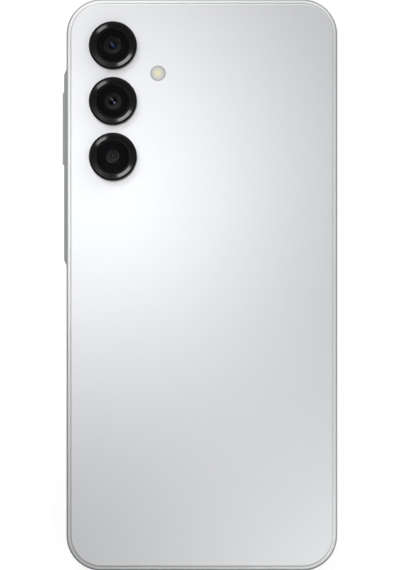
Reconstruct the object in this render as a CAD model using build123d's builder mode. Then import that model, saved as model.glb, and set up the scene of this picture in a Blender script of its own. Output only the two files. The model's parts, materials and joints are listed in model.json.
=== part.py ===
"""A slab smartphone, lying screen down, as the separate pieces that it is assembled from.

X runs across the width, Y along the length with the camera end at +Y, and Z up from the
screen's face to the back cover. The origin is the centre of the screen's face. The keys are
on the -X side, the card tray on the +X side and the charging port at the -Y end.
Sizes are in millimetres.
"""

import os
from math import radians, sin

from build123d import *

# ---------------------------------------------------------------- whole body
body_length = 164.4
body_width = 77.9
body_thickness = 7.9  # screen face to back cover, without the camera rings
corner_radius = 10.1

# ---------------------------------------------------------------- stack through the thickness
glass_thickness = 0.7
panel_thickness = 1.2  # the laminated display and its backing
floor_thickness = 0.7  # the middle wall of the housing, between display and battery
cover_thickness = 0.8
cover_tape_thickness = 0.1
display_tape_thickness = 0.25
glass_proud = 0.2  # the screen stands this far out of the housing's rim
cover_proud = 0.25  # and the back cover this far out of the rear rim

# ---------------------------------------------------------------- outlines, measured in from the side
glass_inset = 0.95
glass_gap = 0.08
glass_edge_round = 0.35
tape_margin = 0.1
slot_tape_margin = 0.8  # at each end of the earpiece's slit
slot_tape_inset = 0.4
cover_tape_overlap = 0.1  # past the side wall's inner face
panel_side_inset = 2.9
panel_top_inset = 3.3
panel_bottom_inset = 5.6
panel_gap = 0.3
cover_inset = 1.3
cover_gap = 0.07
side_wall = 2.8
front_round = 0.65
rear_round = 1.12
cover_edge_round = 0.7

# ---------------------------------------------------------------- bays inside the housing
main_bay_length = 50.9
sub_bay_length = 18.1
rib_thickness = 0.8
rib_height = 3.4
battery_end_gap = 0.6
battery_side_gap = 3.15
battery_tape_thickness = 0.15
battery_round = 1.2
battery_swell_gap = 0.25  # left free between the cell and the back cover's tape ledge
battery_terrace = 3.6  # the thin end that carries the protection circuit
battery_shelf = 2.0  # thickness of the cell under that circuit
battery_tape_margin = 4.0
circuit_rise = 0.1  # above the ribs
circuit_front_inset = 0.2
circuit_end_inset = 0.1

# ---------------------------------------------------------------- boards, brackets and screws
board_standoff = 0.3
board_thickness = 0.7
board_gap = 0.6
board_camera_gap = 2.7  # from the upper camera's can to the main board
board_earpiece_side_gap = 2.5
board_earpiece_gap = 1.9
bracket_thickness = 0.8
bracket_gap = 0.2  # under the tape ledge
bracket_clearance = 0.35
boss_radius = 1.5
screw_radius = 0.5
screw_head_radius = 1.15
screw_head_height = 0.3
screw_length = 2.6
screw_hole_gap = 0.05
can_opening_gap = 0.15  # between a camera and its opening in the bracket
shield_height = 1.5
shield_wall = 0.2
shield_margin = 1.0  # from a shield to the board's edge
shield_connector_gap = 4.0
shield_socket_gap = 2.0
connector_length = 9.0
connector_width = 2.2
connector_height = 0.85
board_hole_gap = 0.15
boss_foot = 0.8  # the wider foot under the boards' edges
corner_boss_end_inset = 4.0  # from the bay's ends to the bosses in its corners
upper_boss_left_inset = 3.5  # from the bay's sides to those at the cameras' end
upper_boss_right_inset = 3.6
lower_boss_left_inset = 3.4  # and at the port's end
lower_boss_right_inset = 3.6
camera_boss_end_inset = 2.6
rib_boss_left_inset = 4.2  # the outer bosses beside the ribs
rib_boss_right_inset = 4.6
sub_boss_left_inset = 2.4
main_boss_rib_gap = 2.9  # from the upper rib to the bosses beside it
main_left_boss_rib_gap = 2.5
sub_boss_rib_gap = 2.5  # and from the lower rib
sub_left_boss_rib_gap = 2.4
main_middle_boss_x = 8.4
sub_middle_boss_x = 8.2
speaker_boss_gap = 2.3  # from the loudspeaker's side
speaker_boss_end_inset = 3.1
screw_core_room = 0.2  # under a screw's tip
bracket_rib_gap = 0.3
bracket_notch = 0.9  # past a ribbon's climb
bracket_notch_side = 0.5
main_connector_gap = 4.4  # from the upper rib to the connectors' middles
sub_connector_gap = 4.6  # and from the lower rib
ribbon_thickness = 0.12
ribbon_bend = 0.45
ribbon_gap = 0.75  # from a rib's face to the ribbons that climb it
ribbon_slot_gap = 0.3  # around the display's ribbon in the middle wall
ribbon_notch = 0.75  # past a ribbon's climb, away from the rib
ribbon_rib_notch = 0.35  # and towards it
ribbon_groove = 0.2  # depth of the groove along the middle wall
ribbon_end_room = 0.5
display_ribbon_width = 8.0
display_ribbon_reach = 11.5  # how far it runs under the display
link_ribbon_width = 8.0
link_ribbon_x = 16.0
battery_ribbon_width = 8.0
battery_circuit_length = 40.0
battery_ribbon_offset = 8.2  # from the screws beside the cameras
camera_boss_offset = 9.4  # from the lens axes to those screws

# ---------------------------------------------------------------- keys on the -X side
island_height = 0.7  # the side swells out this far around the keys
island_length = 52.4
island_slope = 2.4
island_from_top = 48.35
island_centre_z = 3.95
island_depth = 5.0
island_round = 0.88  # from its foot to its flat, across the side
key_z = 4.1
key_gap = 0.12
key_wall = 1.55  # wall left at the keys, measured from the flat side
key_flange = 0.6
key_flange_margin = 1.2  # the flange is this much longer than the key at each end
power_flange_gap = 0.05
volume_flange_gap = 0.3  # room for the flange's ends as the key rocks
key_pocket_gap = 0.25
power_travel = 0.25
volume_length = 20.85
volume_height = 2.4
volume_proud = 0.43
volume_from_top = 37.22
volume_switch_pitch = 13.0
volume_tilt = 1.2  # degrees either way
volume_flange_height = 3.0
volume_corner = 0.95
volume_edge_round = 0.3
fulcrum_radius = 0.4
fulcrum_half = 1.0  # half the nub's height
fulcrum_gap = 0.05
power_length = 14.65
power_height = 3.0
power_from_top = 62.9
power_flange_height = 3.4
power_corner = 1.1
power_edge_round = 0.15
sensor_thickness = 0.35
sensor_margin = 1.0
sensor_corner = 0.9
switch_height = 0.4
switch_length = 3.0
switch_width = 2.2
switch_corner = 0.4
plunger_length = 2.4
plunger_width = 1.6
plunger_corner = 0.3
switch_gap = 0.03  # left between plunger and switch when a key is pressed home
key_flex_thickness = 0.15
key_flex_inset = 0.1  # under the bracket's edge
key_tail_half = 1.5  # half the width of the flex's tail to the main board
key_tail_landing = 2.0
key_tail_reach = 2.5  # from the board's edge to the tail's end
key_tail_room = 0.2
key_plate_thickness = 0.3  # steel behind the key switches
key_plate_foot = 1.2
key_plate_end_margin = 0.4
key_plate_rise = 1.4  # above the keys' axis
key_post_half = 0.8  # the posts behind the plate
key_post_depth = 0.8
key_back_gap = 0.45  # from the side wall's inner face to the flex behind the keys

# ---------------------------------------------------------------- cameras
camera_side_inset = 13.35  # from the -X side to the lens axes
camera_top_inset = 13.27  # from the top edge to the first axis
camera_pitch = 16.0
camera_bump = 1.7
ring_radius = 6.91
ring_crest_radius = 6.28
window_radius = 5.2
window_thickness = 0.6
window_recess = 0.5
window_gap = 0.05
window_ledge = 0.5
ring_spigot_radius = 6.0
ring_spigot_gap = 0.06
lens_gap = 0.3  # between a fixed lens barrel and its window
focus_travel = 0.3
can_gap = 0.15  # under a ring's spigot
can_wall = 0.2
can_corner = 0.4
main_can_corner = 0.5
main_can_inner_corner = 0.3
can_opening_corner = 0.5
carrier_side_gap = 0.3  # between the focusing barrel's carrier and its can
carrier_top_gap = 0.15
camera_base = 1.0  # sensor and its board, under each lens
focus_bore_gap = 0.05
focus_rest_gap = 0.05
main_can_size = 8.8
main_barrel_radius = 3.0
main_aperture_radius = 1.25
wide_can_size = 7.0
wide_barrel_radius = 2.45
wide_aperture_radius = 1.2
macro_can_size = 5.2
macro_barrel_radius = 1.76
macro_aperture_radius = 0.5
lens_seat_depth = 0.45
lens_glass_thickness = 0.6
lens_dome = 0.15
lens_seat_margin = 0.2  # the seat's step around a lens
barrel_lip = 0.25  # the flat rim of a lens barrel's front
flash_side_inset = 26.37
flash_top_inset = 21.31
flash_radius = 2.13
flash_gap = 0.06
flash_proud = 0.05
flash_edge_round = 0.08
flash_bracket_gap = 0.1
flash_lens_depth = 1.35
flash_flange = 0.6
flash_flange_thickness = 0.25
led_size = 1.8
led_height = 0.45
led_board_size = 5.4
led_board_thickness = 0.4
front_camera_inset = 6.3  # from the top edge to the lens axis
front_camera_size = 4.8
front_can_corner = 0.3
front_step_gap = 0.6  # from the glass to the step behind the narrow tip
front_aperture_radius = 0.45
front_lip = 0.3
front_funnel_depth = 0.35
front_barrel_radius = 1.9
front_tip_radius = 1.4
front_camera_gap = 0.2
front_tip_gap = 0.1  # from the glass to the lens barrel behind it

# ---------------------------------------------------------------- card tray on the +X side
tray_from_top = 32.2
tray_bezel_length = 17.4
tray_bezel_height = 2.4
tray_bezel_depth = 1.5
tray_bezel_gap = 0.1
tray_edge_round = 0.12
tray_stop_gap = 0.05
tray_z = 4.5
tray_width = 14.0
tray_thickness = 1.3
tray_length = 27.2
tray_gap = 0.25
seal_gap = 0.05
seal_offset = 0.3
seal_width = 0.7
seal_corner = 0.15
tray_offset = 1.2  # the tray sits off the bezel's middle, to leave room for the eject rod
sim_width = 12.3
sim_length = 8.8
card_width = 11.0
card_length = 15.0
card_ledge = 0.35
card_floor = 0.3
card_bezel_gap = 1.4  # from the bezel to the first card
card_gap = 0.9  # between the two cards
socket_sheet = 0.2
socket_open_inset = 0.2  # from the side wall's inner face
guide_width = 1.0
guide_inset = 1.5  # from the tray's inner end
guide_open_inset = 2.5
guide_gap = 0.2
eject_hole_radius = 0.5
eject_rod_radius = 0.55
eject_rod_gap = 0.1  # around the rod, and between the lever and what it pushes
eject_rod_recess = 0.3  # from the bezel's back to the rod's outer end
eject_offset = -7.1  # from the bezel's middle to the rod
lever_thickness = 0.6
lever_arm = 3.6
lever_reach = 4.5
lever_nose = 0.5
lever_hub = 1.1
lever_nose_offset = 0.25  # from the pivot to where the lever takes the rod
lever_set_back = 1.35  # from the tray's inner end to the lever's pivot
lever_bay = 3.5
pivot_radius = 0.5
pivot_gap = 0.03

# ---------------------------------------------------------------- charging port, speaker, motor
port_z = 4.25
port_width = 8.34
port_height = 2.56
port_shell = 0.3
port_depth = 7.0
port_ear = 1.8
port_ear_overlap = 0.2
port_ear_length = 1.5
port_ear_inset = 0.9  # from the shell's back
port_recess = 0.3
port_gap = 0.12
tongue_width = 6.69
tongue_thickness = 0.7
tongue_corner = 0.2
tongue_length = 4.5
tongue_base = 1.2
speaker_width = 16.0
speaker_length = 16.2
speaker_wall = 0.6
speaker_side_gap = 6.4  # from the bay's side, with a screw between
speaker_slot_count = 6
speaker_slot_length = 1.55
speaker_slot_height = 1.1
speaker_slot_pitch = 2.35
diaphragm_thickness = 0.3
diaphragm_corner = 2.0
diaphragm_gap = 0.3
mic_hole_radius = 0.45
bottom_mic_x = 12.6
top_mic_x = 22.0
mic_length = 2.8
mic_width = 2.0
mic_height = 1.0
motor_radius = 4.0
motor_height = 2.7
motor_side_inset = 13.6  # from the bay's sides to its axis
motor_end_inset = 7.2
motor_wall = 0.25
motor_shaft_radius = 0.35
motor_running_gap = 0.05
rotor_gap = 0.25
earpiece_slot_length = 10.4
earpiece_slot_width = 0.45
earpiece_length = 13.0
earpiece_width = 6.4
earpiece_height = 2.6
earpiece_corner = 1.2
earpiece_offset = 2.9  # from the front camera's middle to the earpiece's end
earpiece_end_gap = 0.5
channel_inset = 0.5  # the earpiece's sound channel, from the bay's end
channel_wall = 0.1
channel_depth = 0.3
duct_margin = 0.1  # the duct from that channel into the bay
duct_side_inset = 0.2
duct_reach = 1.6
duct_rise = 1.0
mesh_thickness = 0.15
speaker_mesh_margin = 0.4
earpiece_mesh_margin = 0.4
earpiece_mesh_inset = 0.8  # from the bay's end
cable_radius = 0.4
cable_plug_radius = 1.0
cable_plug_height = 0.8
cable_bend = 1.6
cable_side_gap = 1.35  # from the bay's side to its axis
cable_plug_gap = 2.4  # from the motor to the cable's low end
cable_low_reach = 5.7  # from the lower rib to that end
cable_high_reach = 8.0
cable_high_inset = 6.2
cable_rest_count = 3
cable_rest_half = 1.0  # half of each rest's length

# ---------------------------------------------------------------- levels and edges worked out from the above
rim_front = glass_proud
rim_rear = body_thickness - cover_proud
tape_ledge = glass_thickness + display_tape_thickness
floor_front = glass_thickness + panel_thickness
floor_back = floor_front + floor_thickness
cover_front = body_thickness - cover_thickness
cover_ledge = cover_front - cover_tape_thickness
board_front = floor_back + board_standoff
board_back = board_front + board_thickness
connector_back = board_back + connector_height
bracket_back = cover_ledge - bracket_gap
bracket_front = bracket_back - bracket_thickness
rib_back = floor_back + rib_height
battery_front = floor_back + battery_tape_thickness
battery_back = cover_ledge - battery_swell_gap
screw_tip = bracket_back - screw_head_height - screw_length

side_x = body_width / 2
end_y = body_length / 2
bay_x = side_x - side_wall
bay_y = end_y - side_wall
panel_x = side_x - panel_side_inset
panel_low_y = -end_y + panel_bottom_inset
panel_high_y = end_y - panel_top_inset
sub_rib_y = -bay_y + sub_bay_length  # the lower rib's face towards the port
main_rib_y = bay_y - main_bay_length  # the upper rib's face towards the cameras
battery_low_y = sub_rib_y + rib_thickness + battery_end_gap
battery_high_y = main_rib_y - rib_thickness - battery_end_gap
battery_x = bay_x - battery_side_gap
circuit_front = battery_front + battery_shelf
circuit_back = rib_back + circuit_rise

camera_x = -side_x + camera_side_inset
camera_ys = [end_y - camera_top_inset - camera_pitch * n for n in range(3)]
wide_y, main_y, macro_y = camera_ys
ring_top = body_thickness + camera_bump
window_back = ring_top - window_recess - window_thickness
can_top = cover_front - can_gap
barrel_top = window_back - lens_gap
camera_boss_x = camera_x + camera_boss_offset
flash_x = -side_x + flash_side_inset
flash_y = end_y - flash_top_inset
front_camera_y = end_y - front_camera_inset

island_y = end_y - island_from_top
island_x = -side_x - island_height  # the island's outer face
volume_y = end_y - volume_from_top
power_y = end_y - power_from_top
key_wall_x = -side_x + key_wall
key_flex_front_x = -bay_x + key_back_gap + switch_height
key_plate_x = key_flex_front_x + key_flex_thickness
key_plate_back_x = key_plate_x + key_plate_thickness
switch_x = key_flex_front_x - switch_height
volume_swing = volume_switch_pitch / 2 * sin(radians(volume_tilt))
fulcrum_x = key_flex_front_x - fulcrum_gap - fulcrum_radius
key_end = key_flange_margin + key_pocket_gap + key_plate_foot + key_plate_end_margin
sensor_length = power_length - 2 * sensor_margin
sensor_height = power_height - sensor_margin
key_plate_low_y = power_y - power_length / 2 - key_end
key_plate_high_y = volume_y + volume_length / 2 + key_end
key_plate_top = key_z + key_plate_rise

tray_y = end_y - tray_from_top
tray_plate_y = tray_y + tray_offset
tray_low_y = tray_plate_y - tray_width / 2
tray_high_y = tray_plate_y + tray_width / 2
eject_y = tray_y + eject_offset
bezel_x = side_x - tray_bezel_depth
tray_end_x = bezel_x - tray_length
socket_x = tray_end_x - lever_bay
socket_open_x = bay_x - socket_open_inset
socket_low_y = eject_y - eject_rod_radius - tray_gap
socket_high_y = tray_high_y + tray_gap
socket_back = tray_z + tray_thickness / 2 + tray_gap
pivot_x = tray_end_x - lever_set_back
pivot_y = eject_y + lever_arm
rod_nose_x = pivot_x + lever_nose_offset
tray_nose_x = tray_end_x - eject_rod_gap - lever_nose
rod_end_x = rod_nose_x + lever_nose + eject_rod_gap

port_front_y = -end_y + port_recess
port_back_y = port_front_y + port_depth
port_outer_width = port_width + 2 * port_shell
port_outer_height = port_height + 2 * port_shell
speaker_x = -bay_x + speaker_side_gap + speaker_width / 2
speaker_low_y = -bay_y + mesh_thickness
speaker_high_y = speaker_low_y + speaker_length
speaker_side_x = speaker_x + speaker_width / 2
speaker_grille_length = (speaker_slot_count - 1) * speaker_slot_pitch + speaker_slot_length
motor_x = bay_x - motor_side_inset
motor_y = -bay_y + motor_end_inset
mic_z = board_back + mic_height / 2
slit_y = end_y - glass_inset - earpiece_slot_width
earpiece_x = earpiece_offset + earpiece_length / 2
earpiece_y = bay_y - earpiece_end_gap - earpiece_width / 2

cable_x = bay_x - cable_side_gap
cable_z = board_back + cable_radius
cable_low = (motor_x + motor_radius + cable_plug_gap, sub_rib_y - cable_low_reach)
cable_high = (bay_x - cable_high_inset, main_rib_y + cable_high_reach)
display_ribbon_x = 0  # over the charging port
battery_ribbon_x = camera_boss_x + battery_ribbon_offset
sub_connector_y = sub_rib_y - sub_connector_gap
main_connector_y = main_rib_y + main_connector_gap

boss_places = [
    (-bay_x + upper_boss_left_inset, bay_y - corner_boss_end_inset),
    (camera_boss_x, bay_y - camera_boss_end_inset),
    (bay_x - upper_boss_right_inset, bay_y - corner_boss_end_inset),
    (-bay_x + rib_boss_left_inset, main_rib_y + main_left_boss_rib_gap),
    (camera_boss_x, main_rib_y + main_boss_rib_gap),
    (main_middle_boss_x, main_rib_y + main_boss_rib_gap),
    (bay_x - rib_boss_right_inset, main_rib_y + main_boss_rib_gap),
    (-bay_x + sub_boss_left_inset, sub_rib_y - sub_left_boss_rib_gap),
    (-bay_x + lower_boss_left_inset, -bay_y + corner_boss_end_inset),
    (speaker_side_x + speaker_boss_gap, sub_rib_y - sub_boss_rib_gap),
    (speaker_side_x + speaker_boss_gap, -bay_y + speaker_boss_end_inset),
    (sub_middle_boss_x, sub_rib_y - sub_boss_rib_gap),
    (bay_x - rib_boss_right_inset, sub_rib_y - sub_boss_rib_gap),
    (bay_x - lower_boss_right_inset, -bay_y + corner_boss_end_inset),
]


def save(piece, name):
    """Labels a finished piece and writes it as parts/NAME.step."""
    piece.part.label = name
    export_step(piece.part, f"parts/{name}.step")


def outline(inset):
    """Draws the body's outline in the open sketch, inset from the side by that much."""
    RectangleRounded(body_width - 2 * inset, body_length - 2 * inset, corner_radius - inset)


def rounded_between(low, high, radius, mode=Mode.ADD):
    """Draws a rounded rectangle in the open sketch, between two corners."""
    with Locations(((low[0] + high[0]) / 2, (low[1] + high[1]) / 2)):
        RectangleRounded(high[0] - low[0], high[1] - low[1], radius, mode=mode)


def box_between(low, high, mode=Mode.ADD):
    """Adds a box to the open part, from its low corner to its high corner."""
    with Locations(tuple((l + h) / 2 for l, h in zip(low, high))):
        Box(*(h - l for l, h in zip(low, high)), mode=mode)


def side_plane(x, y, z, outward):
    """A plane across the X axis, facing -X or +X, with its own y along Z."""
    return Plane(origin=(x, y, z), x_dir=(0, outward, 0), z_dir=(outward, 0, 0))


def end_plane(x, y, z, outward):
    """A plane across the Y axis, facing -Y or +Y, with its own y along Z."""
    return Plane(origin=(x, y, z), x_dir=(-outward, 0, 0), z_dir=(0, outward, 0))


def section_plane(x, y):
    """An upright plane through (x, y), with its own x along X and its own y along Z."""
    return Plane(origin=(x, y, 0), x_dir=(1, 0, 0), z_dir=(0, -1, 0))


def ribbon(x, width, points):
    """Returns a flat ribbon, along a path of (y, z) points."""
    with BuildPart() as strip:
        with BuildSketch(Plane.YZ.offset(x)):
            with BuildLine():
                FilletPolyline(*points, radius=ribbon_bend)
            trace(line_width=ribbon_thickness)
        extrude(amount=width / 2, both=True)
    return strip


os.makedirs("parts", exist_ok=True)

# ================================================================ housing

# The swelling around the keys: its outline seen from above, cut to its section seen from the end.
with BuildPart() as key_island:
    low_y = island_y - island_length / 2
    high_y = island_y + island_length / 2
    outer_x = -side_x - island_height
    half_x = -side_x - island_height / 2
    with BuildSketch(Plane.XY.offset(island_centre_z - island_depth / 2)):
        with BuildLine():
            low_half = (half_x, low_y - island_slope / 2)
            high_half = (half_x, high_y + island_slope / 2)
            TangentArc((-side_x, low_y - island_slope), low_half, tangent=(0, 1))
            TangentArc((outer_x, low_y), low_half, tangent=(0, -1))
            Line((outer_x, low_y), (outer_x, high_y))
            TangentArc((outer_x, high_y), high_half, tangent=(0, 1))
            TangentArc((-side_x, high_y + island_slope), high_half, tangent=(0, -1))
            Polyline(
                (-side_x, high_y + island_slope),
                (-side_x + key_wall, high_y + island_slope),
                (-side_x + key_wall, low_y - island_slope),
                (-side_x, low_y - island_slope),
            )
        make_face()
    extrude(amount=island_depth)
    with BuildSketch(end_plane(-side_x, low_y - 2 * island_slope, island_centre_z, -1)):
        with BuildLine():
            half = island_depth / 2
            flat = half - island_round
            Polyline((key_wall, -half), (0, -half))
            Spline(
                (0, -half),
                (-island_height, -flat),
                tangents=((-0.6, 0.8), (0, 1)),
            )
            Line((-island_height, -flat), (-island_height, flat))
            Spline(
                (-island_height, flat),
                (0, half),
                tangents=((0, 1), (0.6, 0.8)),
            )
            Polyline((0, half), (key_wall, half), (key_wall, -half))
        make_face()
    extrude(amount=-(island_length + 4 * island_slope), mode=Mode.INTERSECT)

with BuildPart() as front_housing:
    with BuildSketch(Plane.XY.offset(rim_front)):
        outline(0)
    extrude(amount=rim_rear - rim_front)
    fillet(front_housing.edges().group_by(Axis.Z)[-1], rear_round)
    fillet(front_housing.edges().group_by(Axis.Z)[0], front_round)
    add(key_island.part)
    # The display's side: a rebate for the glass, and inside it the panel's pocket.
    with BuildSketch(Plane.XY.offset(rim_front)):
        outline(glass_inset - glass_gap)
    extrude(amount=tape_ledge - rim_front, mode=Mode.SUBTRACT)
    with BuildSketch(Plane.XY.offset(tape_ledge)):
        rounded_between(
            (-panel_x - panel_gap, panel_low_y - panel_gap),
            (panel_x + panel_gap, panel_high_y + panel_gap),
            corner_radius - panel_side_inset + panel_gap,
        )
    extrude(amount=floor_front - tape_ledge, mode=Mode.SUBTRACT)
    # The rear side: the back cover's seat, and the bay for everything else.
    with BuildSketch(Plane.XY.offset(cover_ledge)):
        outline(cover_inset - cover_gap)
    extrude(amount=body_thickness - cover_ledge, mode=Mode.SUBTRACT)
    with BuildSketch(Plane.XY.offset(floor_back)):
        outline(side_wall)
    extrude(amount=cover_ledge - floor_back, mode=Mode.SUBTRACT)
    # The pocket behind each key, with the key's slot through the wall.
    for key_y, length, height, flange_height, corner in (
        (power_y, power_length, power_height, power_flange_height, power_corner),
        (volume_y, volume_length, volume_height, volume_flange_height, volume_corner),
    ):
        half = length / 2 + key_flange_margin + key_pocket_gap
        rise = flange_height / 2 + key_pocket_gap
        box_between(
            (key_wall_x, key_y - half, key_z - rise),
            (-bay_x, key_y + half, key_z + rise),
            Mode.SUBTRACT,
        )
        with BuildSketch(side_plane(island_x, key_y, key_z, -1)):
            RectangleRounded(length + 2 * key_gap, height + 2 * key_gap, corner + key_gap)
        extrude(amount=-(island_height + key_wall), mode=Mode.SUBTRACT)
    # The card tray's counterbore, the slot behind it and the eject rod's hole.
    with BuildSketch(side_plane(side_x, tray_y, tray_z, 1)):
        SlotOverall(
            tray_bezel_length + 2 * tray_bezel_gap, tray_bezel_height + 2 * tray_bezel_gap
        )
    extrude(amount=-(tray_bezel_depth + tray_stop_gap), mode=Mode.SUBTRACT)
    with BuildSketch(side_plane(side_x, tray_plate_y, tray_z, 1)):
        Rectangle(tray_width + 2 * tray_gap, tray_thickness + 2 * tray_gap)
    extrude(amount=-side_wall, mode=Mode.SUBTRACT)
    with BuildSketch(side_plane(side_x, eject_y, tray_z, 1)):
        Circle(eject_rod_radius + eject_rod_gap)
    extrude(amount=-side_wall, mode=Mode.SUBTRACT)
    # The bottom edge: charging port, loudspeaker slots and microphone. The top: microphone.
    with BuildSketch(end_plane(0, -end_y, port_z, -1)):
        SlotOverall(port_outer_width + 2 * port_gap, port_outer_height + 2 * port_gap)
    extrude(amount=-side_wall, mode=Mode.SUBTRACT)
    with BuildSketch(end_plane(speaker_x, -end_y, port_z, -1)):
        with GridLocations(speaker_slot_pitch, 0, speaker_slot_count, 1):
            SlotOverall(speaker_slot_length, speaker_slot_height)
    extrude(amount=-side_wall, mode=Mode.SUBTRACT)
    for mic_x, outward in ((bottom_mic_x, -1), (top_mic_x, 1)):
        with BuildSketch(end_plane(mic_x, outward * end_y, mic_z, outward)):
            Circle(mic_hole_radius)
        extrude(amount=-side_wall, mode=Mode.SUBTRACT)
    # The middle wall: the front camera's hole, and the display ribbon's recess and slot.
    with BuildSketch(Plane.XY.offset(floor_front)):
        with Locations((0, front_camera_y)):
            Circle(front_barrel_radius + front_camera_gap)
    extrude(amount=floor_thickness, mode=Mode.SUBTRACT)
    ribbon_half = display_ribbon_width / 2 + ribbon_slot_gap
    notch_high_y = sub_rib_y - ribbon_gap + ribbon_rib_notch
    box_between(
        (
            display_ribbon_x - ribbon_half,
            sub_rib_y - display_ribbon_reach - ribbon_end_room,
            floor_front,
        ),
        (display_ribbon_x + ribbon_half, notch_high_y, floor_front + ribbon_groove),
        Mode.SUBTRACT,
    )
    box_between(
        (display_ribbon_x - ribbon_half, sub_rib_y - ribbon_gap - ribbon_notch, floor_front),
        (display_ribbon_x + ribbon_half, notch_high_y, floor_back),
        Mode.SUBTRACT,
    )
    # The earpiece's sound channel, from the slit at the glass's edge into the bay.
    box_between(
        (-earpiece_slot_length / 2, bay_y + channel_inset, tape_ledge),
        (
            earpiece_slot_length / 2,
            slit_y + earpiece_slot_width - channel_wall,
            floor_front + channel_depth,
        ),
        Mode.SUBTRACT,
    )
    box_between(
        (
            earpiece_x - earpiece_length / 2 + duct_side_inset,
            bay_y - duct_margin,
            floor_front + duct_margin,
        ),
        (earpiece_slot_length / 2, bay_y + duct_reach, floor_back + duct_rise),
        Mode.SUBTRACT,
    )
    # Ribs at the battery's ends, notched for the antenna cable, and rests that carry it.
    for rib_low_x, rib_y in (
        (-bay_x, sub_rib_y),
        (key_plate_back_x, main_rib_y - rib_thickness),
    ):
        box_between(
            (rib_low_x, rib_y, floor_back), (bay_x, rib_y + rib_thickness, rib_back)
        )
        box_between(
            (cable_x - cable_radius, rib_y, board_back),
            (cable_x + cable_radius, rib_y + rib_thickness, rib_back),
            Mode.SUBTRACT,
        )
    for n in range(cable_rest_count):
        rest_y = battery_low_y + (battery_high_y - battery_low_y) * (n + 0.5) / cable_rest_count
        box_between(
            (cable_x - 2 * cable_radius, rest_y - cable_rest_half, floor_back),
            (bay_x, rest_y + cable_rest_half, board_back),
        )
    # Posts behind the key bracket, and the screw bosses with their feet and cores.
    for post_y in (key_plate_low_y + key_post_half, key_plate_high_y - key_post_half):
        box_between(
            (key_plate_back_x, post_y - key_post_half, floor_back),
            (key_plate_back_x + key_post_depth, post_y + key_post_half, key_plate_top),
        )
    for radius, height in (
        (boss_radius + boss_foot, board_standoff),
        (boss_radius, bracket_front - floor_back),
    ):
        with BuildSketch(Plane.XY.offset(floor_back)):
            with Locations(*boss_places):
                Circle(radius)
        extrude(amount=height)
    with BuildSketch(Plane.XY.offset(bracket_front)):
        with Locations(*boss_places):
            Circle(screw_radius)
    extrude(amount=-(bracket_front - screw_tip + screw_core_room), mode=Mode.SUBTRACT)
save(front_housing, "front_housing")

# ================================================================ display

with BuildPart() as display_glass:
    with BuildSketch():
        outline(glass_inset)
    extrude(amount=glass_thickness)
    fillet(display_glass.edges().group_by(Axis.Z)[0], glass_edge_round)
    box_between(
        (-earpiece_slot_length / 2, slit_y, 0),
        (earpiece_slot_length / 2, end_y, glass_thickness),
        Mode.SUBTRACT,
    )
save(display_glass, "display_glass")

with BuildPart() as display_panel:
    with BuildSketch(Plane.XY.offset(glass_thickness)):
        rounded_between(
            (-panel_x, panel_low_y), (panel_x, panel_high_y), corner_radius - panel_side_inset
        )
        with Locations((0, front_camera_y)):
            Circle(front_barrel_radius + front_camera_gap, mode=Mode.SUBTRACT)
    extrude(amount=panel_thickness)
save(display_panel, "display_panel")

with BuildPart() as display_tape:
    with BuildSketch(Plane.XY.offset(glass_thickness)):
        outline(glass_inset + tape_margin)
        rounded_between(
            (-panel_x - panel_gap, panel_low_y - panel_gap),
            (panel_x + panel_gap, panel_high_y + panel_gap),
            corner_radius - panel_side_inset + panel_gap,
            Mode.SUBTRACT,
        )
        with Locations((0, end_y)):
            Rectangle(
                earpiece_slot_length + 2 * slot_tape_margin,
                2 * (end_y - bay_y - slot_tape_inset),
                mode=Mode.SUBTRACT,
            )
    extrude(amount=display_tape_thickness)
save(display_tape, "display_tape")

ribbon_front = floor_front + ribbon_thickness / 2
ribbon_back = connector_back + ribbon_thickness / 2
display_flex = ribbon(
    display_ribbon_x,
    display_ribbon_width,
    (
        (sub_rib_y - display_ribbon_reach, ribbon_front),
        (sub_rib_y - ribbon_gap, ribbon_front),
        (sub_rib_y - ribbon_gap, ribbon_back),
        (sub_connector_y - connector_width / 2, ribbon_back),
    ),
)
save(display_flex, "display_flex")

# ================================================================ back cover

with BuildPart() as back_cover:
    with BuildSketch(Plane.XY.offset(cover_front)):
        outline(cover_inset)
    extrude(amount=cover_thickness)
    fillet(back_cover.edges().group_by(Axis.Z)[-1], cover_edge_round)
    with BuildSketch(Plane.XY.offset(cover_front)):
        with Locations(*[(camera_x, y) for y in camera_ys]):
            Circle(ring_spigot_radius + ring_spigot_gap)
        with Locations((flash_x, flash_y)):
            Circle(flash_radius + flash_gap)
    extrude(amount=cover_thickness, mode=Mode.SUBTRACT)
save(back_cover, "back_cover")

with BuildPart() as back_cover_tape:
    with BuildSketch(Plane.XY.offset(cover_ledge)):
        outline(cover_inset + tape_margin)
        outline_inner = side_wall - cover_tape_overlap
        RectangleRounded(
            body_width - 2 * outline_inner,
            body_length - 2 * outline_inner,
            corner_radius - outline_inner,
            mode=Mode.SUBTRACT,
        )
    extrude(amount=cover_tape_thickness)
save(back_cover_tape, "back_cover_tape")

# ================================================================ rear cameras

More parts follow.
